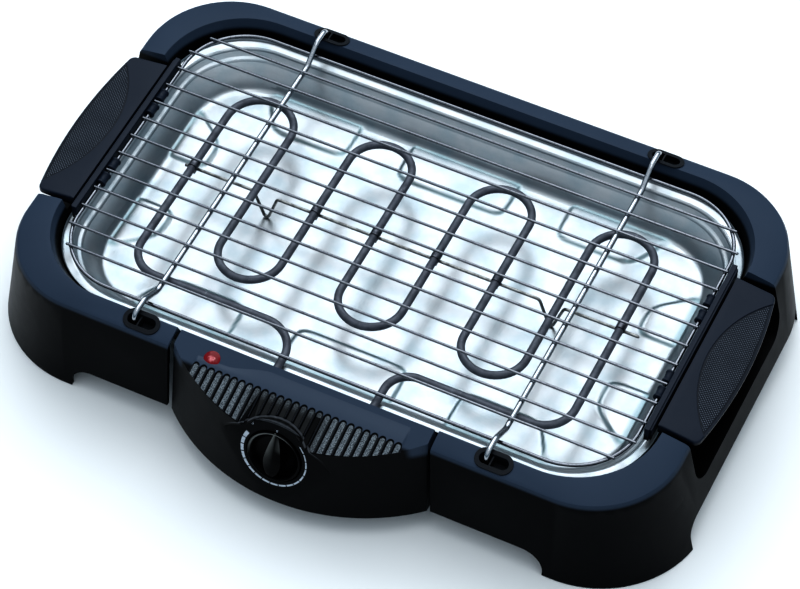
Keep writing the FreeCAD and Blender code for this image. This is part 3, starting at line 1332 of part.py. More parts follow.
carrier_right = keep("handle_carrier_right", make_carrier("handle_carrier_right"))
keep("handle_carrier_left", mirrored("handle_carrier_left", carrier_right))
grip_right = keep("handle_grip_right", make_grip("handle_grip_right"))
keep("handle_grip_left", mirrored("handle_grip_left", grip_right))
handle_screws = []
for side in (-1, 1):
    for y in (-40, 40):
        tag = "handle_screw_" + ("left" if side < 0 else "right") + str(y + 40)
        spot = (side * (grip_inner + 8.4), y, grip_bottom - 2.6)
        handle_screws.append(cylinder(tag, 1.5, 5.6, spot))
        handle_screws.append(cylinder(tag + "_head", 2.0, 1.4, spot))
keep("handle_screws", boolean("Fuse", "handle_screws", *handle_screws))

# Origin under the middle of the grill
#
# A mirrored piece follows the one that it mirrors.

for feature in nodes.values():
    if feature.TypeId != "Part::Mirroring":
        moved = feature.Placement.Base + Vector(0, rear_shift.value, 0)
        feature.Placement = FreeCAD.Placement(moved, feature.Placement.Rotation)

# Check and write every piece

doc.recompute()
for thing in doc.Objects:
    if "Invalid" in thing.State or "Error" in thing.State:
        raise RuntimeError(thing.Name + " " + str(thing.State))
for name, feature in nodes.items():
    if feature.Shape.isNull() or not feature.Shape.isValid():
        raise RuntimeError(name + " has no valid shape")
os.makedirs("parts", exist_ok=True)
for name, feature in nodes.items():
    feature.Shape.exportStep("parts/" + name + ".step")
    print(name, len(feature.Shape.Solids), "solids", round(feature.Shape.Volume), "mm3")
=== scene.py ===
# %% [markdown]
# # An electric table grill, dressed for the camera
#
# A low table grill is a moulded black frame with a bright pressed tray in it, a
# tube element over the tray and a wire rack on top. The solids come from the CAD
# model and stay where they are. This lesson gives every surface its finish. It
# replaces the pieces whose look depends on smooth curves: the wires, the tube,
# the pressed tray and the knob. It adds what is too fine for the solids: the
# printed dial, the grooves of the control box and the knurl of the grips.
#
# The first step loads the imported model. All places below are read from it.

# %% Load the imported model
import json
import math

import bmesh
import bpy
import numpy as np
from mathutils import Matrix, Vector


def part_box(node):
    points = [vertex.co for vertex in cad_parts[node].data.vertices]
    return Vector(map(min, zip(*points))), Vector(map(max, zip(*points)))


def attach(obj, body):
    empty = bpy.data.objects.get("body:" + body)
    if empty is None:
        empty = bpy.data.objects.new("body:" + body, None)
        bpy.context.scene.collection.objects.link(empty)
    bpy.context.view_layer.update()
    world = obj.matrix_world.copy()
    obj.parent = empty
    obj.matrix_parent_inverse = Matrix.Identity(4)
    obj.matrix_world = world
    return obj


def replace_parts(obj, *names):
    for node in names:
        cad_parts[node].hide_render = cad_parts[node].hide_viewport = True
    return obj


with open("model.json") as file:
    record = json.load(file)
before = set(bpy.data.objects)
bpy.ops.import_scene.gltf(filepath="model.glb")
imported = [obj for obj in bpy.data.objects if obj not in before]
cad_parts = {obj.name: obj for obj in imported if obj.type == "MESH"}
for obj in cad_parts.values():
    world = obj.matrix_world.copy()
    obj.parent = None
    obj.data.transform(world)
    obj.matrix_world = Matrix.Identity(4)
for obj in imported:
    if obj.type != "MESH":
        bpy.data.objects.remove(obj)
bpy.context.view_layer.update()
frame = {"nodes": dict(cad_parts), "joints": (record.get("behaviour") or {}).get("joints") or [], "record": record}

nodes = frame["nodes"]
mm = 0.001

# %% [markdown]
# The grill is laid out from the middle of its tray, which lies a little behind
# the origin. Reading that middle from the tray's box keeps every later number in
# the maker's own measures: millimetres to the right, to the rear and above the
# table. One function turns such a place into metres in the shared frame. Pieces
# that come in pairs are named for their side, and x is negative on the left.

# %% The middle of the grill
tray_low, tray_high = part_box("drip_tray")
middle_y = (tray_low.y + tray_high.y) / 2
side_names = {-1: "left", 1: "right"}


def place(x, y, z):
    """Millimetres from the middle of the tray and above the table, as metres in the frame."""
    return np.stack(np.broadcast_arrays(x * mm, y * mm + middle_y, z * mm), axis=-1)


print("middle of the tray at y =", round(middle_y, 5), "m")

# %% [markdown]
# A surface worked out with numpy is a grid of points: one direction runs along
# the piece, the other round it. Neighbouring points make the faces, and a grid
# that closes on itself simply joins its last row to its first. Writing the grid
# into the mesh as whole arrays is fast, and the same few lines serve every new
# piece below.

# %% Grids of points become meshes
def grid_faces(rows, columns, wrap_rows=False, wrap_columns=False, start=0):
    """Four-cornered faces between neighbouring points of a rows x columns grid."""
    a = np.arange(rows if wrap_rows else rows - 1)[:, None]
    b = np.arange(columns if wrap_columns else columns - 1)[None, :]
    a_next = (a + 1) % rows
    b_next = (b + 1) % columns
    faces = [a * columns + b, a_next * columns + b, a_next * columns + b_next, a * columns + b_next]
    return start + np.stack(np.broadcast_arrays(*faces), axis=-1).reshape(-1, 4)


def put(name, data):
    """A new object that shows a mesh, a lamp or a camera in the scene."""
    thing = bpy.data.objects.new(name, data)
    bpy.context.scene.collection.objects.link(thing)
    return thing


def mesh_piece(name, points, faces):
    """One mesh object from an array of points and an array of four-cornered faces."""
    mesh = bpy.data.meshes.new(name)
    mesh.vertices.add(len(points))
    mesh.vertices.foreach_set("co", np.asarray(points, np.float32).ravel())
    mesh.loops.add(len(faces) * 4)
    mesh.loops.foreach_set("vertex_index", np.asarray(faces, np.int32).ravel())
    mesh.polygons.add(len(faces))
    mesh.polygons.foreach_set("loop_start", np.arange(len(faces), dtype=np.int32) * 4)
    mesh.update(calc_edges=True)
    mesh.validate()
    mesh.shade_smooth()
    return put(name, mesh)


def reshape(mesh, change):
    """Puts every point of a mesh where a function of the whole array of points says."""
    points = np.empty(len(mesh.vertices) * 3, np.float32)
    mesh.vertices.foreach_get("co", points)
    changed = change(points.reshape(-1, 3).astype(float))
    mesh.vertices.foreach_set("co", changed.astype(np.float32).ravel())
    mesh.update()


def tidy(piece, merge=0.01 * mm):
    """Closes seams and poles, and turns all faces outwards."""
    work = bmesh.new()
    work.from_mesh(piece.data)
    bmesh.ops.remove_doubles(work, verts=work.verts, dist=merge)
    bmesh.ops.dissolve_degenerate(work, edges=work.edges, dist=merge / 10)
    bmesh.ops.recalc_face_normals(work, faces=work.faces)
    work.to_mesh(piece.data)
    work.free()
    return piece


def crease(piece, degrees=35):
    """Smooth shading that breaks where two faces meet at more than an angle."""
    piece.data.shade_smooth()
    piece.data.set_sharp_from_angle(angle=math.radians(degrees))
    return piece


def mark(piece, name, values):
    """Stores one number per point, before seams are closed; a material reads it by its name."""
    numbers = piece.data.attributes.new(name, "FLOAT", "POINT").data
    numbers.foreach_set("value", np.asarray(values, np.float32).ravel())
    return piece


def shell(name, top, low):
    """A closed thin piece between two grids of points that lie one over the other."""
    points = np.concatenate([top, low[::-1]])
    rows, columns = points.shape[:2]
    i = np.arange(rows // 2 - 1)[:, None]
    rims = [np.hstack([i, i + 1, rows - 2 - i, rows - 1 - i]) * columns + end
            for end in (0, columns - 1)]
    faces = np.concatenate([grid_faces(rows, columns, wrap_rows=True)] + rims)
    return mesh_piece(name, points.reshape(-1, 3), faces)


def joined(name, parts):
    """One mesh object from several (points, faces) pairs."""
    counts = np.cumsum([0] + [len(points) for points, faces in parts])
    points = np.concatenate([points for points, faces in parts])
    faces = np.concatenate([faces + start for (_, faces), start in zip(parts, counts)])
    return mesh_piece(name, points, faces)


# %% [markdown]
# The camera stands where the photographer stood: its height, angle and distance
# were worked out from the rack, whose wires are straight and evenly spaced. The
# lens is long, so the grill shows little perspective.

# %% Camera
image_width = 800
focal_pixels = 3257.0
azimuth = math.radians(25.92)
elevation = math.radians(52.43)
distance = 2.141
aim = Vector(place(19.6, -43.6, 84.0).tolist())

back = Vector((math.sin(azimuth) * math.cos(elevation), -math.cos(azimuth) * math.cos(elevation),
               math.sin(elevation)))
right = Vector((math.cos(azimuth), math.sin(azimuth), 0.0))
camera_data = bpy.data.cameras.new("camera")
camera_data.sensor_width = 36.0
camera_data.lens = focal_pixels / image_width * camera_data.sensor_width
camera_data.clip_end = 20.0
camera = put("camera", camera_data)
turn = Matrix((right, back.cross(right), back)).transposed()
camera.matrix_world = Matrix.Translation(aim + back * distance) @ turn.to_4x4()
bpy.context.scene.camera = camera
print("lens", round(camera_data.lens, 1), "mm")

# %% [markdown]
# Black plastic and bright sheet only show what they mirror, so the light is
# broad and soft. One wide lamp hangs behind the grill, just where level faces
# mirror the camera: it gives the black bands their cool sheen and whitens the
# floor of the tray. The sky is dim near the horizon, which the sloped walls of
# the tray mirror as deep grey-blue bands, and the upright black faces stay dark.

# %% Floor, sky and lamps
def area_light(name, spot, towards, width, depth, watts, colour):
    """A soft rectangular lamp at one place that faces another; sizes in metres."""
    light = bpy.data.lights.new(name, "AREA")
    light.shape = "RECTANGLE"
    light.size = width
    light.size_y = depth
    light.energy = watts
    light.color = colour
    lamp = put(name, light)
    lamp.location = spot
    lamp.rotation_euler = (Vector(spot) - Vector(towards)).to_track_quat("Z", "Y").to_euler()


area_light("rear_window", (-0.5, 1.35, 1.75), (0, 0.0, 0.05), 2.4, 1.7, 24.0, (0.90, 0.96, 1.0))
area_light("top_window", (0.2, 0.1, 2.4), (0, 0, 0.05), 1.6, 1.2, 9.0, (0.95, 0.98, 1.0))

sky = bpy.data.worlds.new("studio")
sky.use_nodes = True
bpy.context.scene.world = sky
tree = sky.node_tree
tree.nodes.clear()
direction = tree.nodes.new("ShaderNodeTexCoord")
split = tree.nodes.new("ShaderNodeSeparateXYZ")
ramp = tree.nodes.new("ShaderNodeValToRGB")
glow = tree.nodes.new("ShaderNodeBackground")
output = tree.nodes.new("ShaderNodeOutputWorld")
for out, into in ((direction.outputs["Generated"], split.inputs[0]),
                  (split.outputs["Z"], ramp.inputs[0]), (ramp.outputs[0], glow.inputs["Color"]),
                  (glow.outputs[0], output.inputs["Surface"])):
    tree.links.new(out, into)
stops = [(0.0, (0.17, 0.24, 0.28)), (0.2, (0.13, 0.20, 0.25)), (0.42, (0.34, 0.42, 0.48)),
         (0.6, (0.62, 0.70, 0.76)), (1.0, (0.66, 0.72, 0.76))]
elements = ramp.color_ramp.elements
elements[0].position = stops[0][0]
elements[1].position = stops[-1][0]
for position, _ in stops[1:-1]:
    elements.new(position)
for element, (_, colour) in zip(elements, stops):
    element.color = (*colour, 1.0)
glow.inputs["Strength"].default_value = 1.0
bpy.context.scene.view_settings.view_transform = "Standard"
bpy.context.scene.view_settings.look = "High Contrast"

floor_points = np.array([[-6, -6, 0], [6, -6, 0], [6, 6, 0], [-6, 6, 0]], float)
floor = mesh_piece("floor", floor_points, np.array([[0, 1, 2, 3]]))

# %% [markdown]
# Materials are written as sums. A small class wraps a socket of a shader node,
# so that noise * 0.2 + 0.4 adds the Math nodes by itself. A second class holds
# one material: it makes any node by its type, its settings and its inputs, and
# hands the results to the sockets of the main shader.

# %% Shader sockets as numbers
class Socket:
    """The output of a shader node, used like a number."""

    def __init__(self, paint, link):
        self.paint = paint
        self.link = link

    def maths(self, operation, *values):
        """One Math node, by the name of its operation."""
        return self.paint.node("Math", {"operation": operation}, *values)

    def __add__(self, other):
        return self.maths("ADD", self, other)

    def __sub__(self, other):
        return self.maths("SUBTRACT", self, other)

    def __rsub__(self, other):
        return self.maths("SUBTRACT", other, self)

    def __mul__(self, other):
        return self.maths("MULTIPLY", self, other)

    def __truediv__(self, other):
        return self.maths("DIVIDE", self, other)

    def __pow__(self, other):
        return self.maths("POWER", self, other)

    def __abs__(self):
        return self.maths("ABSOLUTE", self)

    __radd__ = __add__
    __rmul__ = __mul__

    def between(self, low, high):
        """0 below low, 1 above high and smooth in between."""
        return self.paint.node("MapRange", {"interpolation_type": "SMOOTHSTEP"}, self, low, high)


class Paint:
    """One material: its nodes, and the sockets of its main shader."""

    def __init__(self, name, **constants):
        self.material = bpy.data.materials.new(name)
        self.material.use_nodes = True
        self.tree = self.material.node_tree
        self.shader = self.tree.nodes["Principled BSDF"]
        for socket, value in constants.items():
            self.shader.inputs[socket.replace("_", " ")].default_value = value

    def node(self, kind, settings, *values, out=0):
        """Adds a node: its settings first, then the values or links of its inputs in order."""
        made = self.tree.nodes.new("ShaderNode" + kind)
        for key, value in settings.items():
            setattr(made, key, value)
        self.feed(made, dict(enumerate(values)))
        return Socket(self, made.outputs[out])

    def feed(self, made, values):
        """Links sockets to a node's inputs and writes plain values into them."""
        for key, value in values.items():
            if isinstance(value, Socket):
                self.tree.links.new(value.link, made.inputs[key])
            elif value is not None:
                made.inputs[key].default_value = value

    def here(self):
        """The place on the object, in metres of the frame."""
        return self.node("TexCoord", {}, out="Object")

    def along(self, axis):
        """The place along one axis, 0 to 2, in millimetres of the frame."""
        return self.node("SeparateXYZ", {}, self.here(), out=axis) / mm

    def marked(self, name):
        """A number that the piece stores at its points."""
        return self.node("Attribute", {"attribute_name": name}, out="Fac")

    def noise(self, scale, detail=3.0, roughness=0.5, squeeze=(1.0, 1.0, 1.0)):
        """Cloudy noise between 0 and 1: features per metre, squeezed along the axes."""
        where = self.node("VectorMath", {"operation": "MULTIPLY"}, self.here(), squeeze)
        return self.node("TexNoise", {}, where, None, scale, detail, roughness)

    def mix(self, share, first, second):
        """A colour between two colours."""
        made = self.tree.nodes.new("ShaderNodeMix")
        made.data_type = "RGBA"
        self.feed(made, {"Factor": share})
        self.feed(made, {6: first, 7: second})
        return Socket(self, made.outputs[2])

    def bump(self, height, metres, strength=1.0, edges=None):
        """Tilts the shading by a height between 0 and 1 that stands for a depth in metres."""
        made = self.tree.nodes.new("ShaderNodeBump")
        self.feed(made, {"Strength": strength, "Distance": metres, "Height": height,
                         "Normal": edges})
        return Socket(self, made.outputs[0])

    def rounded(self, metres):
        """Shading that rounds every edge of the piece by a small radius."""
        return self.node("Bevel", {"samples": 6}, metres)

    def finish(self, **sockets):
        """Links the results to the main shader and returns the material."""
        self.feed(self.shader, {key.replace("_", " "): value for key, value in sockets.items()})
        return self.material


def tone(red, green, blue):
    """A colour given as it looks on screen, 0 to 255, as the linear numbers of a shader."""
    share = np.array([red, green, blue]) / 255
    linear = np.where(share <= 0.04045, share / 12.92, ((share + 0.055) / 1.055) ** 2.4)
    return (*linear.tolist(), 1.0)


def coat(piece, material):
    """Gives a piece one material on all its faces."""
    piece.data.materials.clear()
    piece.data.materials.append(material)
    return piece


# %% [markdown]
# No real surface has a single flat colour. For the simple finishes one noise is
# enough: it slides the colour between two, and the gloss and the bump follow it.
# The floor is the first of them, a pale sheet with a breath of unevenness.

# %% Pale floor
def clouded(name, first, second, noise, gloss, spread=None, bump=None, **constants):
    """One noise (scale, detail, roughness) varies the colour and the gloss (change, least).

    Spread is the part of the noise that changes the colour, bump a depth in mm and a strength.
    """
    paint = Paint(name, **constants)
    cloud = paint.noise(*noise)
    share = cloud.between(*spread) if spread else cloud
    normal = paint.bump(cloud, bump[0] * mm, bump[1]) if bump else None
    return paint.finish(Base_Color=paint.mix(share, first, second),
                        Roughness=cloud * gloss[0] + gloss[1], Normal=normal)


coat(floor, clouded("pale_sheet", tone(238, 239, 240), tone(246, 246, 246), (1.5,), (0.0, 0.9)))

# %% [markdown]
# The frame, the control box and the handles are moulded in black plastic with a
# spark-eroded grain: a very fine roughness that breaks reflections into a satin
# glow. Three scales of noise make it. The finest is the grain, which is only
# bump; a middle one varies the gloss, as handling does; the widest changes the
# colour by a hair, so large faces don't look painted. No moulded edge is truly
# sharp, so the shading rounds each one by a fraction of a millimetre. The level
# faces on top get a painted sheen, a bluish grey that stands for the light they
# mirror, while the upright sides keep their black: the height of a place says
# which of the two it gets.

# %% Black moulded plastic
side_black = tone(4, 5, 7)
box_sheen_tone = tone(54, 65, 80)
grain_depth = 0.02 * mm


def satin(paint, top_low, top_high, top_tone):
    """Near-black sides and a lighter top tone between two heights in mm, with three scales of noise."""
    wide = paint.noise(14.0, 2.0)
    hands = paint.noise(90.0, 4.0, 0.6)
    fine = paint.noise(1800.0, 2.0)
    # On the frame, the box and the handles this top tone is a painted sheen.
    top_share = (paint.along(2) + wide).between(top_low, top_high) * (wide * 0.3 + 0.8)
    colour = paint.mix(top_share, side_black, top_tone)
    roughness = hands * 0.12 + 0.34
    return colour, roughness, fine


def moulded_plastic(name, top_low, top_high, top_tone, shine=0.12):
    """Satin plastic with grained faces and rounded edges."""
    paint = Paint(name, Specular_IOR_Level=shine)
    colour, roughness, fine = satin(paint, top_low, top_high, top_tone)
    normal = paint.bump(fine, grain_depth, 0.6, paint.rounded(0.4 * mm))
    return paint.finish(Base_Color=colour, Roughness=roughness, Normal=normal)


# The top tones of frame_black and handle_black are a painted sheen, the light that level faces mirror.
frame_black = moulded_plastic("frame_black", 79.0, 82.5, tone(53, 64, 79), shine=0.06)
handle_black = moulded_plastic("handle_black", 77.5, 81.0, tone(30, 37, 49))
slot_grey = moulded_plastic("slot_grey", 60.0, 80.0, tone(24, 27, 32))

# %% [markdown]
# The control box carries a dial on its tilted front face, and a low arch is
# moulded round the top of the dial. The knob's joint says where the dial is and
# how it leans. Two functions measure from there: one turns places on the dial
# into metres, the other says how high up the face a place lies, counted from the
# middle of the arch. The second takes numbers, arrays and sockets alike.

# %% Places on the dial
def unit(vector):
    """The same direction with length one; an array of vectors is taken row by row."""
    return vector / np.linalg.norm(vector, axis=-1, keepdims=True)


turn_joint = next(joint for joint in frame["joints"] if joint["name"] == "knob_turn")
dial_spot = np.array(turn_joint["pos_m"])
dial_out = unit(-np.array(turn_joint["axis"]))
dial_up = np.cross(dial_out, (1.0, 0.0, 0.0))


def on_dial(x, y, height):
    """Places on the dial: millimetres to the right, up its face and out of it."""
    x, y, height = np.broadcast_arrays(x, y, height)
    across = x[..., None] * np.array([1.0, 0.0, 0.0]) + y[..., None] * dial_up
    return dial_spot + (across + height[..., None] * dial_out) * mm


arch_x, arch_drop, arch_radius = -5.7, 24.6, 51.8
dial_y = (dial_spot[1] - middle_y) / mm
dial_z = dial_spot[2] / mm


def arch_up(y, z):
    """Height in mm up the dial's face, from the middle of the arch over the dial."""
    return (y - dial_y) * dial_up[1] + (z - dial_z) * dial_up[2] + arch_drop


print("dial at", dial_spot.round(4), "leaning", dial_out.round(3))

# %% [markdown]
# The control box is moulded in the same black. Only the smooth rear part of its
# top gets a painted sheen; the front, the arch over the dial and the sides stay near
# black. A painted highlight lightens the rim of that arch and draws it as a thin line.

# %% Control box
sheen_from, sheen_to = -153.5, -150.0
rim_inside, rim_outside = (50.7, 51.2), (51.5, 51.8)
rim_height = (36, 44)


def box_plastic():
    """A painted sheen behind a line on the top, black in front of it, and a painted highlight on the rim of the
    arch.
    """
    paint = Paint("box_black", Specular_IOR_Level=0.07)
    colour, roughness, fine = satin(paint, 72.0, 78.0, box_sheen_tone)
    y = paint.along(1) - middle_y / mm
    # Painted sheen on the top behind a line; black in front of it.
    colour = paint.mix((y + fine).between(sheen_from, sheen_to), side_black, colour)
    up = arch_up(y, paint.along(2))
    away = ((paint.along(0) - arch_x) ** 2 + up ** 2) ** 0.5
    # Painted highlight: a thin lighter line on the rim of the arch, broken up by noise.
    rim = away.between(*rim_inside) * (1 - away.between(*rim_outside)) * up.between(*rim_height)
    wear_and_highlight = paint.noise(240.0, 3.0)
    colour = paint.mix(rim * (wear_and_highlight * 0.9 + 0.1), colour, tone(84, 87, 92))
    normal = paint.bump(fine, grain_depth, 0.6, paint.rounded(0.25 * mm))
    return paint.finish(Base_Color=colour, Roughness=roughness, Normal=normal)


box_black = box_plastic()

# %% [markdown]
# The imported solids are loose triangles. A merged copy of one can be shaded
# smoothly, with breaks only where two faces meet at more than a small angle, so
# the large rounded corners of the frame look round. The copy takes the place of
# the solid and moves with its body.

# %% Merged copies
record = frame["record"]
members = record["behaviour"]["bodies"]
body_of = {node: body for body in members for node in members[body]}


def merged(node, material, degrees=28):
    """A smooth-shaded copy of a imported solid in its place."""
    mesh = nodes[node].data.copy()
    if "custom_normal" in mesh.attributes:
        mesh.attributes.remove(mesh.attributes["custom_normal"])
    piece = put(node + "_smooth", mesh)
    coat(crease(tidy(piece, 0.002 * mm), degrees), material)
    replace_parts(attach(piece, body_of[node]), node)
    return piece


moulded = {"base_frame": frame_black, "control_housing": box_black, "bottom_cover": box_black}
for side_name in side_names.values():
    for piece_name in ("handle_carrier_", "handle_grip_"):
        moulded[piece_name + side_name] = handle_black
    for piece_name in ("slot_insert_rear_", "slot_insert_front_"):
        moulded[piece_name + side_name] = slot_grey
copies = {}
for node, material in moulded.items():
    copies[node] = merged(node, material)
    print(copies[node].name, len(copies[node].data.polygons), "faces")

# %% [markdown]
# The tray is thin aluminium sheet, pressed in one stroke. Its mill finish
# scatters what it mirrors, so the element shows in it only as soft smears, and
# rolled sheet is never quite flat after pressing. The metal is half rough; a low
# wide bump makes the soft patches, and fine lines along the rolling direction
# vary the gloss. The sloped edges of the pressed pads mirror a darker part of the
# room; the mesh stores where they are, and the material tints them.

# %% Pressed aluminium
def pressed_aluminium():
    """Rolling lines and stains vary the gloss, and a wide bump makes it uneven."""
    paint = Paint("pressed_aluminium", Metallic=1.0)
    rolled = paint.noise(6.0, squeeze=(8.0, 260.0, 60.0))
    patches = paint.noise(24.0, 2.0)
    stains = paint.noise(45.0, 4.0, 0.6)
    colour = paint.mix(stains.between(0.35, 0.75), tone(171, 174, 177), tone(152, 163, 169))
    # Painted reflection: the pads' sloped edges get a darker teal tint.
    colour = paint.mix(paint.marked("pad_edge") * 0.8, colour, tone(92, 120, 126))
    roughness = rolled * 0.06 + stains * 0.10 + 0.24
    return paint.finish(Base_Color=colour, Roughness=roughness,
                        Normal=paint.bump(patches, 1.2 * mm, 0.5))


tray_metal = pressed_aluminium()

# %% [markdown]
# The tray's outline is a rectangle with round corners, and so is every level
# line of its walls. One formula gives them all: the corner centres lie at
# (half - radius), and each sample adds the radius times its own direction.
# Straight sides keep one direction while the centre slides from corner to
# corner. With the half sizes, radius and height as arrays over the levels, a
# whole pressed wall is one expression.

# %% Rings round the tray
def ring_samples(step, half_x, half_y, arc_steps):
    """Per sample round a ring: the signs of its corner centre and its outward direction."""
    count_x = int(2 * half_x / step)
    count_y = int(2 * half_y / step)
    pieces = []
    corners = [(1, -1), (1, 1), (-1, 1), (-1, -1)]
    for i in range(4):
        here, after = np.array(corners[i]), np.array(corners[(i + 1) % 4])
        count = count_y if i % 2 == 0 else count_x
        share = np.arange(count)[:, None] / count
        heading = np.full(count, i * math.pi / 2)
        pieces.append(np.column_stack([here * (1 - share) + after * share, heading]))
        arc = (i + np.arange(arc_steps) / arc_steps) * math.pi / 2
        pieces.append(np.column_stack([np.tile(after, (arc_steps, 1)), arc]))
    signs_x, signs_y, heading = np.concatenate(pieces).T
    return signs_x, signs_y, np.cos(heading), np.sin(heading)


def rounded_rings(samples, half_x, half_y, radius):
    """x and y of nested rounded rectangles: one row per level, one column per sample."""
    signs_x, signs_y, cos, sin = samples
    half_x, half_y, radius = (np.asarray(v, float)[:, None] for v in (half_x, half_y, radius))
    x = signs_x * (half_x - radius) + radius * cos
    y = signs_y * (half_y - radius) + radius * sin
    return x, y


def smooth_step(low, high, value):
    """0 below low, 1 above high, with the curve 3t^2 - 2t^3 between."""
    t = np.clip((value - low) / (high - low), 0, 1)
    return t * t * (3 - 2 * t)


# %% [markdown]
# The profile of the tray runs over its rim and down the wall: up the outside of
# the lip, over it, across the flat flange, round the mouth, down past a small
# step and out on the floor through a wide fillet. It is a line of distances
# inwards from the lip and heights. Sampling it along its length with rounded
# corners gives the levels of the wall.

# %% Profile of the tray's wall
lip_x, lip_y, lip_corner = 214.4, 126.8, 58.4
floor_x, floor_y = 193.4, 102.4
flange_top, lip_top, floor_top = 71.4, 73.6, 47.0
sheet, under_inset, corner_shrink = 1.0, 0.6, 0.72
fillet, lip_gap_left, lip_gap_right = (22.0, 27.0), (-61, -57), (67, 71)
inner_wall = np.array([
    (0.0, 70.4), (0.0, 72.9), (0.5, lip_top), (1.0, 73.0), (1.25, 71.8), (2.0, flange_top),
    (5.2, flange_top), (6.4, 71.2), (7.3, 70.2), (8.3, 67.4), (9.3, 66.4), (11.2, 66.0),
    (12.3, 65.2), (13.4, 63.2), (21.4, 50.6), (22.4, 49.0), (23.8, 47.8), (25.6, 47.2),
    (28.0, floor_top)])
inset, level = inner_wall.T
print("tray profile of", len(inset), "levels")

# %% [markdown]
# The floor carries pressed pads: shallow plateaus that stiffen the sheet, with
# channels between them that lead the fat away. A pad is the inside of a few
# straight lines. The largest of the signed distances to those lines says how
# far a point lies outside the pad; a soft maximum rounds the corners. A smooth
# step turns that distance into the sloped edge of the pad.

# %% Pressed pads
pad_rise = 1.6
corner_softness = 3.5


def pad_height(x, y, corners):
    """The rise of one pad, whose corners go round anticlockwise, at every point."""
    distances = []
    for (x0, y0), (x1, y1) in zip(corners, corners[1:] + corners[:1]):
        length = math.hypot(x1 - x0, y1 - y0)
        distances.append(((x - x0) * (y1 - y0) - (y - y0) * (x1 - x0)) / length)
    outside = corner_softness * np.log(sum(np.exp(d / corner_softness) for d in distances))
    return pad_rise * (1 - smooth_step(-2.2, 1.2, outside))


far = 130.0
pads = [
    [(-41, 72), (41, 72), (41, far), (-41, far)],
    [(80, 72), (137, 72), (166, far), (80, far)],
    [(-137, 72), (-80, 72), (-80, far), (-166, far)],
    [(162, 21), (260, 21), (260, 120), (162, 46)],
    [(-260, 21), (-162, 21), (-162, 46), (-260, 120)]]
pads += [[(x, -y) for x, y in reversed(corners)] for corners in pads]


def floor_rise(x, y):
    """How much the pads lift the floor; where two meet, no more than one does."""
    return np.minimum(sum(pad_height(x, y, corners) for corners in pads), pad_rise)


print(len(pads), "pads")

# %% [markdown]
# The whole tray is one closed sheet. Its upper side follows the profile down the
# wall and then closes in towards the middle in even steps; the lower side runs
# back outwards a sheet's thickness below. Both sides shrink to one line in the
# middle and close there, so the strip of faces between the two is dropped. The
# lip is missing at the front, where the element's ends pass, so its height is
# scaled by a window there.

# %% The pressed tray
def pressed_tray():
    """Rings inwards along the profile, the floor's pads added; then back out, a sheet lower."""
    samples = ring_samples(1.9, floor_x, floor_y, 18)
    top_in = np.concatenate([inset, np.linspace(inset[-1], lip_y, 57)[1:]])
    half_x = lip_x - top_in
    half_y = lip_y - top_in
    corner = np.clip(lip_corner - top_in * corner_shrink, 0, np.maximum(half_y - 0.3, 0))
    x, y = rounded_rings(samples, half_x, half_y, corner)
    rise = smooth_step(*fillet, top_in)[:, None] * floor_rise(x, y)
    z = np.interp(top_in, inset, level)[:, None] + rise
    gate = smooth_step(*lip_gap_left, x) * (1 - smooth_step(*lip_gap_right, x)) * (y < 0)
    z = np.where((top_in < 2.0)[:, None] & (z > flange_top), z + gate * (flange_top - z), z)
    below = np.arange(0, len(top_in), 2)[::-1]
    under_half = np.maximum(half_y[below] - under_inset, 0)
    under_x, under_y = rounded_rings(samples, half_x[below] - under_inset, under_half,
                                     np.minimum(corner[below], under_half))
    under_rim = (top_in[below] < 3.0)[:, None]
    under_z = np.where(under_rim, np.minimum(z[below] - sheet, level[0]), z[below] - sheet)
    points = place(np.concatenate([x, under_x]), np.concatenate([y, under_y]),
                   np.concatenate([z, under_z]))
    faces = grid_faces(points.shape[0], points.shape[1], wrap_rows=True, wrap_columns=True)
    row = faces // points.shape[1]
    slit = (row.min(axis=1) == len(top_in) - 1) & (row.max(axis=1) == len(top_in))
    tray = mesh_piece("tray_sheet", points.reshape(-1, 3), faces[~slit])
    share = np.concatenate([rise, 0 * under_z]) / pad_rise
    mark(tray, "pad_edge", 4 * share * (1 - share))
    return coat(crease(tidy(tray), 50), tray_metal)


tray = pressed_tray()
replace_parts(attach(tray, "tray"), "drip_tray")
print("tray:", len(tray.data.polygons), "faces")

# %% [markdown]
# Wires and tubes are a circle carried along a line. All of them here lie in one
# plane each, so the circle needs no twisting: one of its axes is the plane's
# normal and the other is the normal crossed with the direction of travel. A bent
# wire is straight runs joined by arcs, which a short function samples.

# %% Bent wires
def bent_line(points, radii, arc_steps=10):
    """Straight runs through points, with an arc of a given radius at each inner one."""
    points = np.asarray(points, float)
    line = [points[:1]]
    for i, radius in enumerate(radii, start=1):
        before = unit(points[i - 1] - points[i])
        after = unit(points[i + 1] - points[i])
        half = math.acos(float(np.clip(before @ after, -1, 1))) / 2
        centre = points[i] + unit(before + after) * radius / math.sin(half)
        enter = points[i] + before * radius / math.tan(half) - centre
        leave = points[i] + after * radius / math.tan(half) - centre
        swing = math.acos(float(np.clip(enter @ leave / radius ** 2, -1, 1)))
        t = np.linspace(0, 1, arc_steps + 1)[:, None]
        arc = (np.sin((1 - t) * swing) * enter + np.sin(t * swing) * leave) / math.sin(swing)
        line.append(centre + arc)
    line.append(points[-1:])
    return np.concatenate(line)


def around(count):
    """Evenly spaced angles all the way round."""
    return np.arange(count) / count * 2 * math.pi


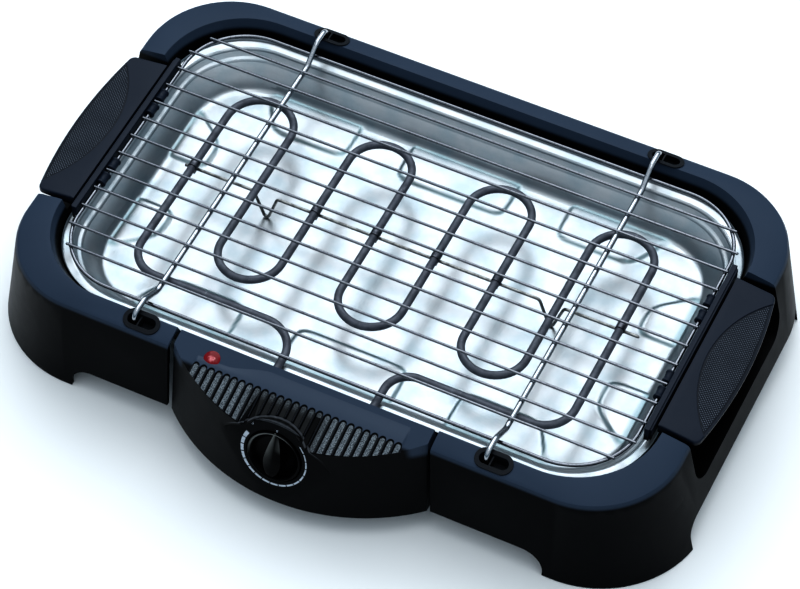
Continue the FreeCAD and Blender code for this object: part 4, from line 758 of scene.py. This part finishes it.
def tube_grid(line, normal, radius, sides=20, closed=False, end_steps=4):
    """A circle carried along a flat line.

    Open ends are rounded off by shrinking rings and closed by a small cap round their middle.
    """
    line = np.asarray(line, float)
    if closed:
        along = np.roll(line, -1, axis=0) - np.roll(line, 1, axis=0)
        size = np.full(len(line), radius)
    else:
        bend = np.linspace(0, math.pi / 2, end_steps + 1)[:-1]
        first = unit(line[1] - line[0])
        last = unit(line[-1] - line[-2])
        reach = radius * (1 - np.sin(bend))[:, None]
        shrink = radius * np.cos(bend)
        start = line[0] + first * reach[::-1]
        stop = line[-1] - last * reach
        line = np.concatenate([start, line[1:-1], stop])
        size = np.concatenate([shrink[::-1], np.full(len(line) - 2 * end_steps, radius), shrink])
        along = np.gradient(line, axis=0)
        along[:end_steps] = first
        along[-end_steps:] = last
    normal = np.asarray(normal, float)
    side = np.cross(unit(along), normal)
    angle = around(sides)
    ring = side[:, None, :] * np.cos(angle)[None, :, None] + normal * np.sin(angle)[None, :, None]
    points = line[:, None, :] + ring * size[:, None, None]
    points = points.reshape(-1, 3)
    faces = grid_faces(len(line), sides, wrap_rows=closed, wrap_columns=True)
    if closed:
        return points, faces
    i = np.arange(0, sides, 2)
    low, high = len(points) + 0 * i, len(points) - sides
    start = np.stack([low, (i + 2) % sides, (i + 1) % sides, i], axis=-1)
    end = np.stack([low + 1, high + i, high + (i + 1) % sides, high + (i + 2) % sides], axis=-1)
    middles = [points[:sides].mean(axis=0), points[-sides:].mean(axis=0)]
    return np.concatenate([points, middles]), np.concatenate([faces, start, end])


def wire_piece(name, parts, material):
    """One piece from grids that were worked out in millimetres from the tray's middle."""
    placed = [(place(*points.T), faces) for points, faces in parts]
    return coat(tidy(joined(name, placed)), material)


# %% [markdown]
# The rack is welded from plated wire. Its plating mirrors sharply but is a dark
# one, so a wire shows as a dark line with a bright core where it mirrors the
# lamp. It gets a faint haze, and a few dull spots where it has met heat and
# brushes.

# %% Plated wire
def plated_wire(name, light, dark):
    """A sharp mirror with a faint haze and dull spots."""
    paint = Paint(name, Metallic=1.0)
    haze = paint.noise(220.0, 4.0, 0.6)
    spots = paint.noise(900.0, 2.0)
    colour = paint.mix(spots.between(0.5, 0.8), light, dark)
    return paint.finish(Base_Color=colour, Roughness=haze * 0.14 + 0.12,
                        Normal=paint.bump(haze, 0.02 * mm, 0.4))


chrome = plated_wire("plated_wire", tone(122, 124, 130), tone(78, 78, 82))

# %% [markdown]
# Thirteen thin wires lie on a rim wire with round corners. They were pressed
# into it by the welding current, so a small bead of metal sits at each joint.
# The beads are flattened spheres; like the wires they are worked out as one
# array and copied to all their places at once.

# %% Rack grid
rack_level, rim_level = 84.0, 81.8
wire_radius, rim_radius = 1.0, 1.3
rim_x, rim_y, rim_corner = 204.5, 120.8, 46.5
wire_pitch, past_rim, short_of_rim = 17.0, 2.4, 5.2
rows = np.arange(-6, 7) * wire_pitch


def spun(radius, height, sides):
    """A profile of radius and height spun round an axis: two places across it, one along it."""
    angle = around(sides)
    across = radius[:, None] * np.cos(angle)
    return across, radius[:, None] * np.sin(angle), height[:, None] + 0 * across


def bead_grids(centres, radius, flat, steps=6, sides=10):
    """Flattened spheres about many centres: rings between two poles."""
    tall = np.linspace(-math.pi / 2, math.pi / 2, steps + 1)
    ball = np.stack(spun(np.cos(tall), np.sin(tall) * flat, sides), axis=-1) * radius
    faces = grid_faces(steps + 1, sides, wrap_columns=True)
    return [((ball + centre).reshape(-1, 3), faces) for centre in np.asarray(centres, float)]


def rack_wires():
    """Thirteen straight tubes, the rim wire round them and a bead where each wire meets it."""
    parts = []
    for y in rows:
        half = rim_x + past_rim if abs(y) < 90 else rim_x - short_of_rim
        line = np.array([(-half, y, rack_level), (half, y, rack_level)])
        parts.append(tube_grid(line, (0, 0, 1), wire_radius, 16, end_steps=3))
    samples = ring_samples(40.0, rim_x, rim_y, 24)
    x, y = rounded_rings(samples, [rim_x], [rim_y], [rim_corner])
    rim = np.stack([x[0], y[0], np.full(x.shape[1], rim_level)], axis=-1)
    parts.append(tube_grid(rim, (0, 0, 1), rim_radius, 16, closed=True))
    corner_in = rim_corner - np.sqrt(np.maximum(rim_corner ** 2 - np.maximum(
        np.abs(rows) - (rim_y - rim_corner), 0) ** 2, 0))
    joints = [(side * (rim_x - cut), y, rack_level - 1.1)
              for side in (-1, 1) for y, cut in zip(rows, corner_in)]
    parts += bead_grids(joints, 1.55, 0.85)
    return wire_piece("rack_wires", parts, chrome)


wires = rack_wires()
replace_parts(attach(wires, "rack"), "rack_grid")
print("rack:", len(wires.data.polygons), "faces")

# %% [markdown]
# The two cross rods carry the rack. Each one runs under the thin wires, climbs
# over the rim wire and the crest of the frame, and turns down into its slots.
# Weld beads hold every thin wire to them. Their plating is the brighter one.

# %% Cross rods
rod_chrome = plated_wire("plated_rod", tone(164, 167, 172), tone(108, 109, 113))
rod_x, rod_radius = 126.7, 2.0
rod_low = rack_level - wire_radius - rod_radius
rod_side = [(139.0, 75.0), (139.0, 91.0), (125.0, 91.0), (109.0, rod_low)]


def cross_rod(name, x):
    """A tube along a bent line in the plane at x, with a bead under each thin wire."""
    points = [(x, -y, z) for y, z in rod_side] + [(x, y, z) for y, z in reversed(rod_side)]
    line = bent_line(points, [5, 9, 9, 9, 9, 5])
    beads = bead_grids([(x, y, rack_level - 0.9) for y in rows], 1.7, 0.9)
    return wire_piece(name, [tube_grid(line, (1, 0, 0), rod_radius)] + beads, rod_chrome)


for side, side_name in side_names.items():
    rod = cross_rod("rod_" + side_name, side * rod_x)
    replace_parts(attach(rod, "rack"), "cross_rod_" + side_name)
print("two cross rods")

# %% [markdown]
# The heating element is a steel tube packed with white powder around a wire.
# Its skin turns dark grey in the first heat, mottled and dull, a little lighter
# where it has been rubbed. The line is drawn from the legs: straight runs joined
# by half circles, with wide turns at the front into the control box.

# %% Scorched tube
def scorched_steel():
    """Mottled dark grey, lighter where a second noise says that it is rubbed."""
    paint = Paint("scorched_steel", Metallic=0.35)
    mottle = paint.noise(130.0, 5.0, 0.65)
    wear_and_highlight = paint.noise(300.0, 4.0, 0.7, squeeze=(1.0, 0.3, 1.0))
    skin = paint.noise(1500.0, 2.0)
    dark = paint.mix(mottle.between(0.3, 0.7), tone(66, 69, 78), tone(88, 92, 101))
    colour = paint.mix(wear_and_highlight.between(0.58, 0.75), dark, tone(112, 116, 124))
    return paint.finish(Base_Color=colour, Roughness=mottle * 0.2 + 0.42,
                        Normal=paint.bump(skin, 0.03 * mm, 0.7))


tube_radius, tube_level = 2.8, 75.0
first_leg, second_leg, leg_pitch, loop_count = -158.5, -110.3, 44.85, 7
legs = np.concatenate([[first_leg], second_leg + leg_pitch * np.arange(loop_count)])
bend_rear, bend_front, run_y = 75.0, 72.0, -94.0
turn_radius = 22.0
entries = {-29.0: 24.0, 41.0: 17.0}
tube_end_y = -139.0


def arc(x, y, radius, start, end, steps=22):
    """Points on a circle between two angles in quarter turns."""
    angle = np.linspace(start, end, steps + 1) * math.pi / 2
    return np.column_stack([x + radius * np.cos(angle), y + radius * np.sin(angle)])


def element_line():
    """The middle of the tube, from its left end in the box to its right end."""
    (left, left_turn), (right, right_turn) = entries.items()
    pieces = [[(left, tube_end_y)], arc(left - left_turn, run_y - left_turn, left_turn, 0, 1),
              arc(legs[0] + turn_radius, run_y + turn_radius, turn_radius, 3, 2)]
    for i in range(loop_count):
        r = (legs[i + 1] - legs[i]) / 2
        middle = (legs[i + 1] + legs[i]) / 2
        if i % 2 == 0:
            pieces.append(arc(middle, bend_rear - r, r, 2, 0))
        else:
            pieces.append(arc(middle, r - bend_front, r, 2, 4))
    pieces += [arc(legs[-1] - turn_radius, run_y + turn_radius, turn_radius, 4, 3),
               arc(right + right_turn, run_y - right_turn, right_turn, 1, 2),
               [(right, tube_end_y)]]
    flat = np.concatenate(pieces)
    return np.column_stack([flat, np.full(len(flat), tube_level)])


tube = tube_grid(element_line(), (0, 0, 1), tube_radius, 24, end_steps=2)
element = wire_piece("element_tube", [tube], scorched_steel())
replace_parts(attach(element, "heater"), "heating_element")
print("element:", len(element.data.polygons), "faces")

# %% [markdown]
# A thin steel wire carries the legs of the element from below. Two V-shaped feet
# reach down to the floor of the tray. Small sheet clips tie the legs to it.

# %% Support wire and clips
def bare_steel(name, light, dark, gloss):
    """Steel with a thin uneven scale."""
    return clouded(name, light, dark, (300.0, 4.0, 0.6), (0.15, gloss), (0.35, 0.7), (0.02, 0.5),
                   Metallic=1.0)


stay_metal = bare_steel("stay_metal", tone(150, 150, 148), tone(96, 96, 96), 0.22)
clip_metal = bare_steel("clip_metal", tone(92, 94, 100), tone(58, 60, 66), 0.3)
screw_metal = bare_steel("screw_metal", tone(190, 190, 188), tone(150, 150, 148), 0.25)
stay_radius, stay_y = 1.1, 2.0
stay_level = tube_level - tube_radius - stay_radius
stay_foot = floor_top + stay_radius + 0.5
stay_points = [(-166, stay_y, stay_level)]
for x in (-104.0, 109.0):
    stay_points += [(x - 9, stay_y, stay_level), (x - 1.6, stay_y, stay_foot),
                    (x + 1.6, stay_y, stay_foot), (x + 9, stay_y, stay_level)]
stay_points.append((172, stay_y, stay_level))
stay_line = bent_line(stay_points, [3.0, 1.5, 1.5, 3.0, 3.0, 1.5, 1.5, 3.0], 6)
stay = wire_piece("stay_wire", [tube_grid(stay_line, (0, 1, 0), stay_radius, 14, end_steps=3)],
                  stay_metal)
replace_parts(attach(stay, "heater"), "support_wire")
coat(nodes["element_clips"], clip_metal)
print("support wire:", len(stay.data.polygons), "faces")

# %% [markdown]
# The knob stands in a round well of the box, its rim level with the dial's face.
# It is moulded in deep black: a cup with a dished front, and across the dish a
# leaf-shaped grip that points at the zero mark. The cup is a profile spun round
# the knob's axis; the grip is a closed outline that flares into the dish and
# rounds off at its top edge. A painted highlight lightens the upper left of the
# rim and the edges of the grip, so the mesh stores how strongly each point is lit.

# %% Knob
def gloss_black():
    """Deep black with smears, and a painted highlight where the mesh says so."""
    paint = Paint("gloss_black", Specular_IOR_Level=0.06)
    smear = paint.noise(160.0, 4.0, 0.6)
    colour = paint.mix(smear, tone(1, 1, 2), tone(4, 4, 5))
    # Painted highlight on the knob's rim and grip edges, as the mesh marks it.
    lightened = paint.marked("edge_highlight") * (smear * 0.8 + 0.5)
    colour = paint.mix(lightened, colour, tone(118, 120, 118))
    return paint.finish(Base_Color=colour, Roughness=smear * 0.1 + 0.25,
                        Normal=paint.bump(smear, 0.01 * mm, 0.3))


cup = np.array([(0.0, -7.8), (5.6, -7.8), (6.0, -8.4), (18.9, -8.4), (19.2, -8.1), (19.2, 0.3),
                (19.08, 0.8), (18.75, 1.1), (18.3, 1.2), (17.9, 1.12), (17.5, 0.85), (17.0, 0.25),
                (15.9, -1.3), (14.6, -2.9), (13.2, -3.9), (11.0, -4.5), (7.0, -4.9), (0.0, -5.1)])
leaf_low, leaf_length, leaf_half, leaf_widest = -15.4, 35.0, 6.3, 0.34
dish_level, grip_level, tip_drop, highlight_towards = -4.4, 2.8, 1.9, math.radians(118)


def knob_cup(sides=96):
    """The cup's profile of radius and height, spun round the knob's axis, and its painted highlight."""
    radius, height = cup.T
    points = on_dial(*spun(radius, height, sides))
    # The rim's painted highlight faces the upper left.
    rim = (radius > 17.4) & (radius < 18.5) & (height > 0.5)
    lightened = rim[:, None] * smooth_step(0.2, 0.9, np.cos(around(sides) - highlight_towards)) * 0.8
    return points.reshape(-1, 3), grid_faces(len(cup), sides, wrap_columns=True), lightened


def leaf_outline(count=120):
    """Half an ellipse below the widest place, a slow taper to a narrow tip above it."""
    t = around(count)
    share = 0.5 + 0.5 * np.sin(t)
    below = np.sqrt(np.clip(1 - (1 - share / leaf_widest) ** 2, 0, 1))
    above = 1 - 0.80 * np.clip((share - leaf_widest) / (1 - leaf_widest), 0, 1) ** 1.35
    tip = np.sqrt(np.clip((1 - share) / 0.012, 0, 1))
    half_width = leaf_half * np.where(share < leaf_widest, below, above) * tip
    return half_width * np.sign(np.cos(t)), leaf_low + leaf_length * share


def knob_grip():
    """Rings of the leaf from the dish to its top, which slopes down to the tip, and their painted highlight."""
    x, y = leaf_outline()
    top = grip_level - tip_drop * np.clip((y + 3) / 23, 0, 1)
    rise = np.array([0.0, 0.25, 0.6, 0.85, 0.93, 0.98, 1.0, 1.0])[:, None]
    grow = np.array([0.9, 0.45, 0.15, 0.05, 0.0, -0.12, -0.4, -9.0])[:, None]
    x_grown = np.sign(x) * np.maximum(np.abs(x) + grow, 0)
    points = on_dial(x_grown, y + 0 * grow, dish_level + (top - dish_level) * rise)
    faces = grid_faces(len(rise), len(x), wrap_columns=True)
    edge = np.array([0, 0, 0, 0, 0, 1.0, 1.0, 0])[:, None]
    left = (x < -0.3) * smooth_step(-12, 16, y) * 0.8
    right = (x > 0.3) * smooth_step(4, 8, y) * smooth_step(19, 12, y) * 0.3
    return points.reshape(-1, 3), faces, edge * (left + right)


*cup_grid, cup_highlight = knob_cup()
*grip_grid, grip_highlight = knob_grip()
knob = joined("knob_turned", [cup_grid, grip_grid])
mark(knob, "edge_highlight", np.concatenate([cup_highlight.ravel(), grip_highlight.ravel()]))
coat(crease(tidy(knob), 40), gloss_black())
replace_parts(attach(knob, "knob"), "control_knob")
print("knob:", len(knob.data.polygons), "faces")

# %% [markdown]
# A ring is printed round the knob. It begins as a hair line at the right of the
# zero mark and grows thicker clockwise to the full heat, cut into short dashes
# all the way. The print is a film of paint a few hundredths of a millimetre
# thick, made as thin closed bands. Plain figures mark its two ends.

# %% Printed dial
print_radius = 23.0
print_height = 0.06
ring_start, ring_end = 47.0, 302.0


def printed_band(start, end, steps):
    """A band between two angles, in degrees clockwise from the top, thicker as it goes."""
    degrees = np.linspace(start, end, steps + 1)
    share = (degrees - ring_start) / (ring_end - ring_start)
    half = 0.3 + 0.5 * np.sqrt(share) + 0.6 * share ** 4
    angle = np.radians(90 - degrees)
    edge = np.array([-1, 1, 1, -1])
    lift = np.array([-0.02, -0.02, 1, 1]) * print_height
    radius = print_radius + edge[:, None] * half
    points = on_dial(radius * np.cos(angle), radius * np.sin(angle), lift[:, None] + 0 * radius)
    faces = grid_faces(4, steps + 1, wrap_rows=True)
    ends = np.arange(4) * (steps + 1)
    faces = np.concatenate([faces, [ends[::-1]], [ends + steps]])
    return points.reshape(-1, 3), faces


dial_white = clouded("dial_paint", tone(178, 186, 196), tone(120, 128, 138), (700.0, 4.0, 0.6),
                     (0.2, 0.45), (0.5, 0.75))
dash_count, dash_gap = 17, 2.0
dash_step = (ring_end - ring_start) / dash_count
dashes = [printed_band(ring_start + i * dash_step, ring_start + (i + 1) * dash_step - dash_gap, 8)
          for i in range(dash_count)]
ring = joined("dial_ring", dashes)
coat(crease(tidy(ring, 0.001 * mm)), dial_white)
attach(ring, "heater")


def printed_figure(name, text, x, y, height):
    """A figure as a thin solid, laid on the dial with its middle at x, y."""
    curve = bpy.data.curves.new(name, "FONT")
    curve.body = text
    curve.size = height / 0.7
    curve.extrude = print_height
    curve.align_x = "CENTER"
    curve.resolution_u = 3
    writing = bpy.data.objects.new(name + "_writing", curve)
    mesh = bpy.data.meshes.new_from_object(writing)
    bpy.data.objects.remove(writing)
    reshape(mesh, lambda flat: on_dial(flat[:, 0] + x, flat[:, 1] + y - height / 2, flat[:, 2]))
    figure = put(name, mesh)
    coat(crease(tidy(figure, 0.001 * mm)), dial_white)
    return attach(figure, "heater")


printed_figure("zero_mark", "0", 0.0, 21.2, 1.8)
printed_figure("full_mark", "5", -17.4, 20.2, 2.4)
print("printed ring of", len(dashes), "bands, and two figures")

# %% [markdown]
# The sloping top of the control box is ribbed: a row of channels with round rear
# ends and grained floors runs out over its bowed edge, and narrow lands stand
# between them. In the solid this is a row of plain raised ribs. They are laid
# flat in the merged copy, and one grooved skin covers them. The skin is a grid:
# one direction runs along the grill, the other from behind the channels to the
# bowed edge or to the arch over the dial. The height of a point follows from its
# distance to the nearest channel. The first step is to lay the ribs flat.

# %% Place of the ribbed top
crest_y, crest_z, brow_y, brow_z = -133.0, 86.9, -147.0, 83.3
top_slope = (crest_z - brow_z) / (crest_y - brow_y)
channel_pitch, channel_count, channel_first = 5.6, 27, -74.4
channel_half, channel_rear = 2.15, -150.2


def top_height(y):
    """Height of the sloping top over the table, at a place y from the tray's middle."""
    return crest_z + top_slope * (y - crest_y)


def ribs_laid_flat(spots, highest=1.7, rear=-148, sunk=0.05):
    """Sinks everything that stands up to a rib's height over the ribbed part of the top."""
    x, y, z = spots[:, 0] / mm, (spots[:, 1] - middle_y) / mm, spots[:, 2] / mm
    over = z - top_height(y)
    outside_arch = np.hypot(x - arch_x, arch_up(y, z)) > arch_radius - 0.1
    rib = (over > 0.1) & (over < highest) & (y < rear) & outside_arch
    spots[:, 2] = np.where(rib, (top_height(y) - sunk) * mm, spots[:, 2])
    print("ribs laid flat:", int(rib.sum()), "points")
    return spots


reshape(copies["control_housing"].data, ribs_laid_flat)

# %% [markdown]
# The skin ends in front where the top does: at the bow, which is part of a
# circle, or at the arch, where the height up the dial's face of a point on the
# top equals the arch's own. It swells out of the plain top over a long ramp, so
# its rear edge doesn't show. Every point stores its distance to the wall of its
# channel. The material reads that to tell floors, walls and lands apart.

# %% The grooved skin
grid_step, grid_rows = 0.35, 100
skin_left, skin_right, end_ramp = -77.6, 74.6, 2.1
skin_rear, skin_rear_left, rear_turns, ramp_end = -135.0, -144.0, (-58, -25), -148.8
past_bow, past_arch = 0.35, 0.05
land_rise, floor_over, buried, skin_depth = 1.15, 0.05, 0.1, 0.5
wall_spread, under_side = 0.2, 9.0
bow_x, bow_half, bow_ends, bow_middle = -3.5, 91.6, 144.4, 179.2


def bow_edge(x):
    """The bowed front edge of the top: a circle through its middle and its two ends."""
    drop = bow_middle - bow_ends
    radius = (bow_half ** 2 + drop ** 2) / (2 * drop)
    return -(bow_middle - radius + np.sqrt(radius ** 2 - (x - bow_x) ** 2))


def arch_edge(x):
    """Where the top meets the arch over the dial; far in front beside the arch."""
    reach = arch_radius ** 2 - (x - arch_x) ** 2
    at_zero = arch_up(0.0, top_height(0.0))
    per_mm = arch_up(1.0, top_height(1.0)) - at_zero
    return np.where(reach > 0, (np.sqrt(np.maximum(reach, 0)) - at_zero) / per_mm, -999.0)


def grooved_skin():
    """Height over the top: a land, cut to the channel's floor inside each round-ended channel."""
    x = np.arange(skin_left, skin_right, grid_step)[None, :]
    front = np.maximum(bow_edge(x) + past_bow, arch_edge(x) + past_arch)
    rear = skin_rear_left + (skin_rear - skin_rear_left) * smooth_step(*rear_turns, x)
    y = rear + (front - rear) * np.linspace(0, 1, grid_rows)[:, None]
    number = np.clip(np.round((x - channel_first) / channel_pitch), 0, channel_count - 1)
    aside = np.abs(x - channel_first - number * channel_pitch)
    behind = np.maximum(y - (channel_rear - channel_half), 0)
    outside = np.hypot(aside, behind) - channel_half
    swell = smooth_step(0, 1, (rear - 0.2 - y) / (rear - ramp_end))
    swell = swell * smooth_step(skin_left, skin_left + end_ramp, x)
    swell = swell * smooth_step(skin_right - 0.1, skin_right - end_ramp, x)
    land = (land_rise + buried) * swell - buried
    floor_level = np.minimum(floor_over, land)
    height = floor_level + (land - floor_level) * smooth_step(-wall_spread, wall_spread, outside)
    top = place(x, y, top_height(y) + height)
    low = place(x, y, top_height(y) + np.minimum(height, 0.0) - skin_depth)
    skin = shell("ribbed_top", top, low)
    return mark(skin, "groove", np.concatenate([outside, 0 * outside + under_side]))


dark_by_dial, dark_rows, sheen_on_lands = (22, 38), (-158, -151), (-152.8, -151.8)


def ribbed_plastic():
    """Grained grey floors in the channels, walls painted black as shade, a painted sheen on the lands, painted
    shade by the dial.
    """
    paint = Paint("ribbed_black", Specular_IOR_Level=0.15)
    groove = paint.marked("groove")
    y = paint.along(1) - middle_y / mm
    specks = paint.noise(1500.0, 3.0, 0.7)
    hands = paint.noise(90.0, 4.0, 0.6)
    grained = paint.mix(specks.between(0.40, 0.64), tone(44, 50, 56), tone(128, 136, 142))
    from_dial = abs(paint.along(0) + 5.0) + hands * 8
    # Painted shade: the channel floors darken near the dial, half as much towards the rear.
    shade = (1 - from_dial.between(*dark_by_dial)) * (1 - y.between(*dark_rows) * 0.5)
    grained = paint.mix(shade, grained, tone(20, 22, 24))
    # The channel walls are painted near black as shade.
    walls = paint.mix(groove.between(-0.75, -0.35), grained, tone(1, 2, 3))
    # A painted sheen on the rear part of the lands; their front stays dark.
    lands = paint.mix(y.between(*sheen_on_lands), tone(12, 16, 24), box_sheen_tone)
    colour = paint.mix(groove.between(0.15, 0.35), walls, lands)
    normal = paint.bump(specks, 0.08 * mm, 0.6, paint.rounded(0.12 * mm))
    return paint.finish(Base_Color=colour, Roughness=hands * 0.12 + 0.36, Normal=normal)


skin = coat(crease(tidy(grooved_skin(), 0.001 * mm), 40), ribbed_plastic())
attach(skin, "heater")
print("ribbed top:", len(skin.data.polygons), "faces")

# %% [markdown]
# The lamp's lens is a shallow dome of clear red plastic. Its glow is a painted
# highlight, nearly white in the middle and red towards the edge. The material
# measures the distance from the lens's middle.

# %% Lamp lens
lens_low, lens_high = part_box("indicator_lens")
lens_middle = (lens_low + lens_high) / 2


def red_lens():
    """Red plastic with a painted highlight that glows, fading with the distance from its middle."""
    paint = Paint("red_lens", Specular_IOR_Level=0.2, Emission_Strength=1.3)
    away = paint.node("VectorMath", {"operation": "DISTANCE"}, paint.here(), tuple(lens_middle), out=1)
    cloud = paint.noise(500.0, 2.0)
    near = 1 - (away / mm + cloud * 2.4).between(2.6, 5.2)
    colour = paint.mix(cloud, tone(70, 4, 10), tone(110, 12, 20))
    # The near-white middle is a painted highlight, given as emission.
    painted_glow = paint.mix(near, tone(52, 0, 4), tone(255, 176, 184))
    return paint.finish(Base_Color=colour, Roughness=cloud * 0.1 + 0.12, Emission_Color=painted_glow)


merged("indicator_lens", red_lens())

# %% [markdown]
# Each grip has a sunken leaf with a diamond knurl, so a thumb doesn't slip. The
# knurl is real relief: a grid of points follows the leaf between its inner arc
# and the outer edge of the grip, and small pyramids rise from it. A pyramid is
# the smaller of two zigzags that cross at right angles. The grid is closed to a
# thin shell by a second layer below. The points of the pyramids are coloured
# lighter than the valleys, so the mesh stores the height of the relief.

# %% Knurled leaves of the grips
grip_inner, grip_bulge, grip_half, grip_top = 213.6, 248.5, 66.5, 84.4
leaf_inner, knurl_pitch, knurl_rise = 6.5, 2.1, 0.42
outer_edge, leaf_reach, grip_fall, leaf_sink = 241.5, 59.5, 5.2, 0.7
gap_inside, gap_outside, leaf_lift, leaf_depth = 0.25, 1.3, 0.04, 0.3


def zigzag(value):
    """0 on whole numbers, 1 halfway between them, straight between."""
    return 1 - np.abs(2 * (value - np.floor(value)) - 1)


def leaf_patch(side):
    """Grid over the sunken leaf: y along the grip, v from the inner arc to the outer edge."""
    sag = grip_bulge + 1.5 - grip_inner - leaf_inner
    inner_radius = (grip_half ** 2 + sag ** 2) / (2 * sag)
    bulge = grip_bulge - outer_edge
    outer_radius = (grip_half ** 2 + bulge ** 2) / (2 * bulge)
    y = np.linspace(-leaf_reach, leaf_reach, 300)[None, :]
    v = np.linspace(0, 1, 64)[:, None]
    x_in = grip_inner + leaf_inner + gap_inside + inner_radius - np.sqrt(inner_radius ** 2 - y ** 2)
    x_out = grip_bulge - gap_outside - outer_radius + np.sqrt(outer_radius ** 2 - y ** 2)
    x = x_in + np.maximum(x_out - x_in, 0.1) * v
    slope = grip_fall / (grip_bulge - grip_inner - 1)
    floor_z = grip_top - leaf_sink - (x - grip_inner - 3) * slope
    fade = smooth_step(0.2, 1.4, np.minimum(v, 1 - v) * (x_out - x_in))
    relief = np.minimum(zigzag((x + y) / knurl_pitch), zigzag((x - y) / knurl_pitch)) * fade
    top = place(side * x, y, floor_z + leaf_lift + knurl_rise * relief)
    low = place(side * x, y, floor_z - leaf_depth)
    leaf = shell("grip_leaf_" + side_names[side], top, low)
    return mark(leaf, "peaks", np.concatenate([relief, 0 * relief]))


def knurled_plastic():
    """The grip's plastic: dark in the valleys, lighter on the points of the pyramids."""
    paint = Paint("knurled_black", Specular_IOR_Level=0.12)
    # The leaf's top tone is a painted sheen.
    colour, roughness, fine = satin(paint, 77.5, 81.0, tone(22, 27, 36))
    lightened = paint.marked("peaks").between(0.35, 0.9) * (paint.noise(60.0) * 0.9 + 0.3)
    colour = paint.mix(lightened, colour, tone(122, 130, 142))
    return paint.finish(Base_Color=colour, Roughness=roughness,
                        Normal=paint.bump(fine, grain_depth, 0.6))


knurled_black = knurled_plastic()
for side in side_names:
    leaf = coat(crease(tidy(leaf_patch(side), 0.001 * mm), 25), knurled_black)
    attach(leaf, "rack")
    print(leaf.name, len(leaf.data.polygons), "faces")

# %% [markdown]
# Four barrels of each handle snap on the rim wire. They are moulded like little
# spools, with a flange at both ends and a waist between. A profile of radius
# along the wire is spun round it; all spools of one handle are one mesh.

# %% Barrels on the rim wire
barrel_spots = (-41.2, -27.4, 27.4, 41.2)
spool = np.array([(1.6, -4.55), (3.1, -4.5), (3.4, -4.3), (3.45, -3.2), (3.2, -3.0), (3.05, -2.8),
                  (3.05, 2.8), (3.2, 3.0), (3.45, 3.2), (3.4, 4.3), (3.1, 4.5), (1.6, 4.55)])


def barrel(side, y, sides=28):
    """The spool's profile of radius and place along the wire, spun round the wire."""
    x, z, along = spun(*spool.T, sides)
    points = place(side * rim_x + x, y + along, rim_level + z)
    return points.reshape(-1, 3), grid_faces(len(spool), sides, wrap_rows=True, wrap_columns=True)


for side, side_name in side_names.items():
    spools = joined("barrels_" + side_name, [barrel(side, y) for y in barrel_spots])
    coat(crease(tidy(spools), 40), handle_black)
    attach(spools, "rack")
print(2 * len(barrel_spots), "barrels")

# %% [markdown]
# The remaining pieces sit inside the box or under the grill. They get the
# finishes of their real materials, because a part can be opened and turned over.

# %% Hidden pieces
ceramic = clouded("ceramic", tone(236, 233, 224), tone(216, 210, 196), (900.0, 4.0), (0.2, 0.2),
                  Coat_Weight=0.4)
rubber = clouded("rubber", tone(24, 24, 25), tone(40, 40, 41), (250.0, 5.0, 0.65), (0.15, 0.7),
                 (0.4, 0.8), (0.05, 0.6), Specular_IOR_Level=0.3)
bulb_glass = clouded("bulb_glass", tone(252, 226, 206), tone(246, 206, 180), (300.0,), (0.05, 0.02),
                     Transmission_Weight=0.9, IOR=1.45)
brass = clouded("brass", tone(206, 176, 104), tone(160, 128, 66), (350.0, 4.0, 0.6), (0.2, 0.25),
                Metallic=1.0)
resin = moulded_plastic("resin", 10.0, 20.0, tone(200, 195, 182))
hidden = [(ceramic, ["ceramic_beads"]), (rubber, ["foot_pads", "cord_gland"]),
          (bulb_glass, ["neon_lamp"]), (brass, ["terminal_pins"]),
          (resin, ["thermostat", "terminal_block", "safety_switch"]),
          (screw_metal, ["element_plate", "thermostat_bracket", "housing_screws", "handle_screws",
                         "knob_spring", "switch_shaft"])]
for material, names in hidden:
    for node in names:
        coat(nodes[node], material)
    print(material.name, "on", *names)
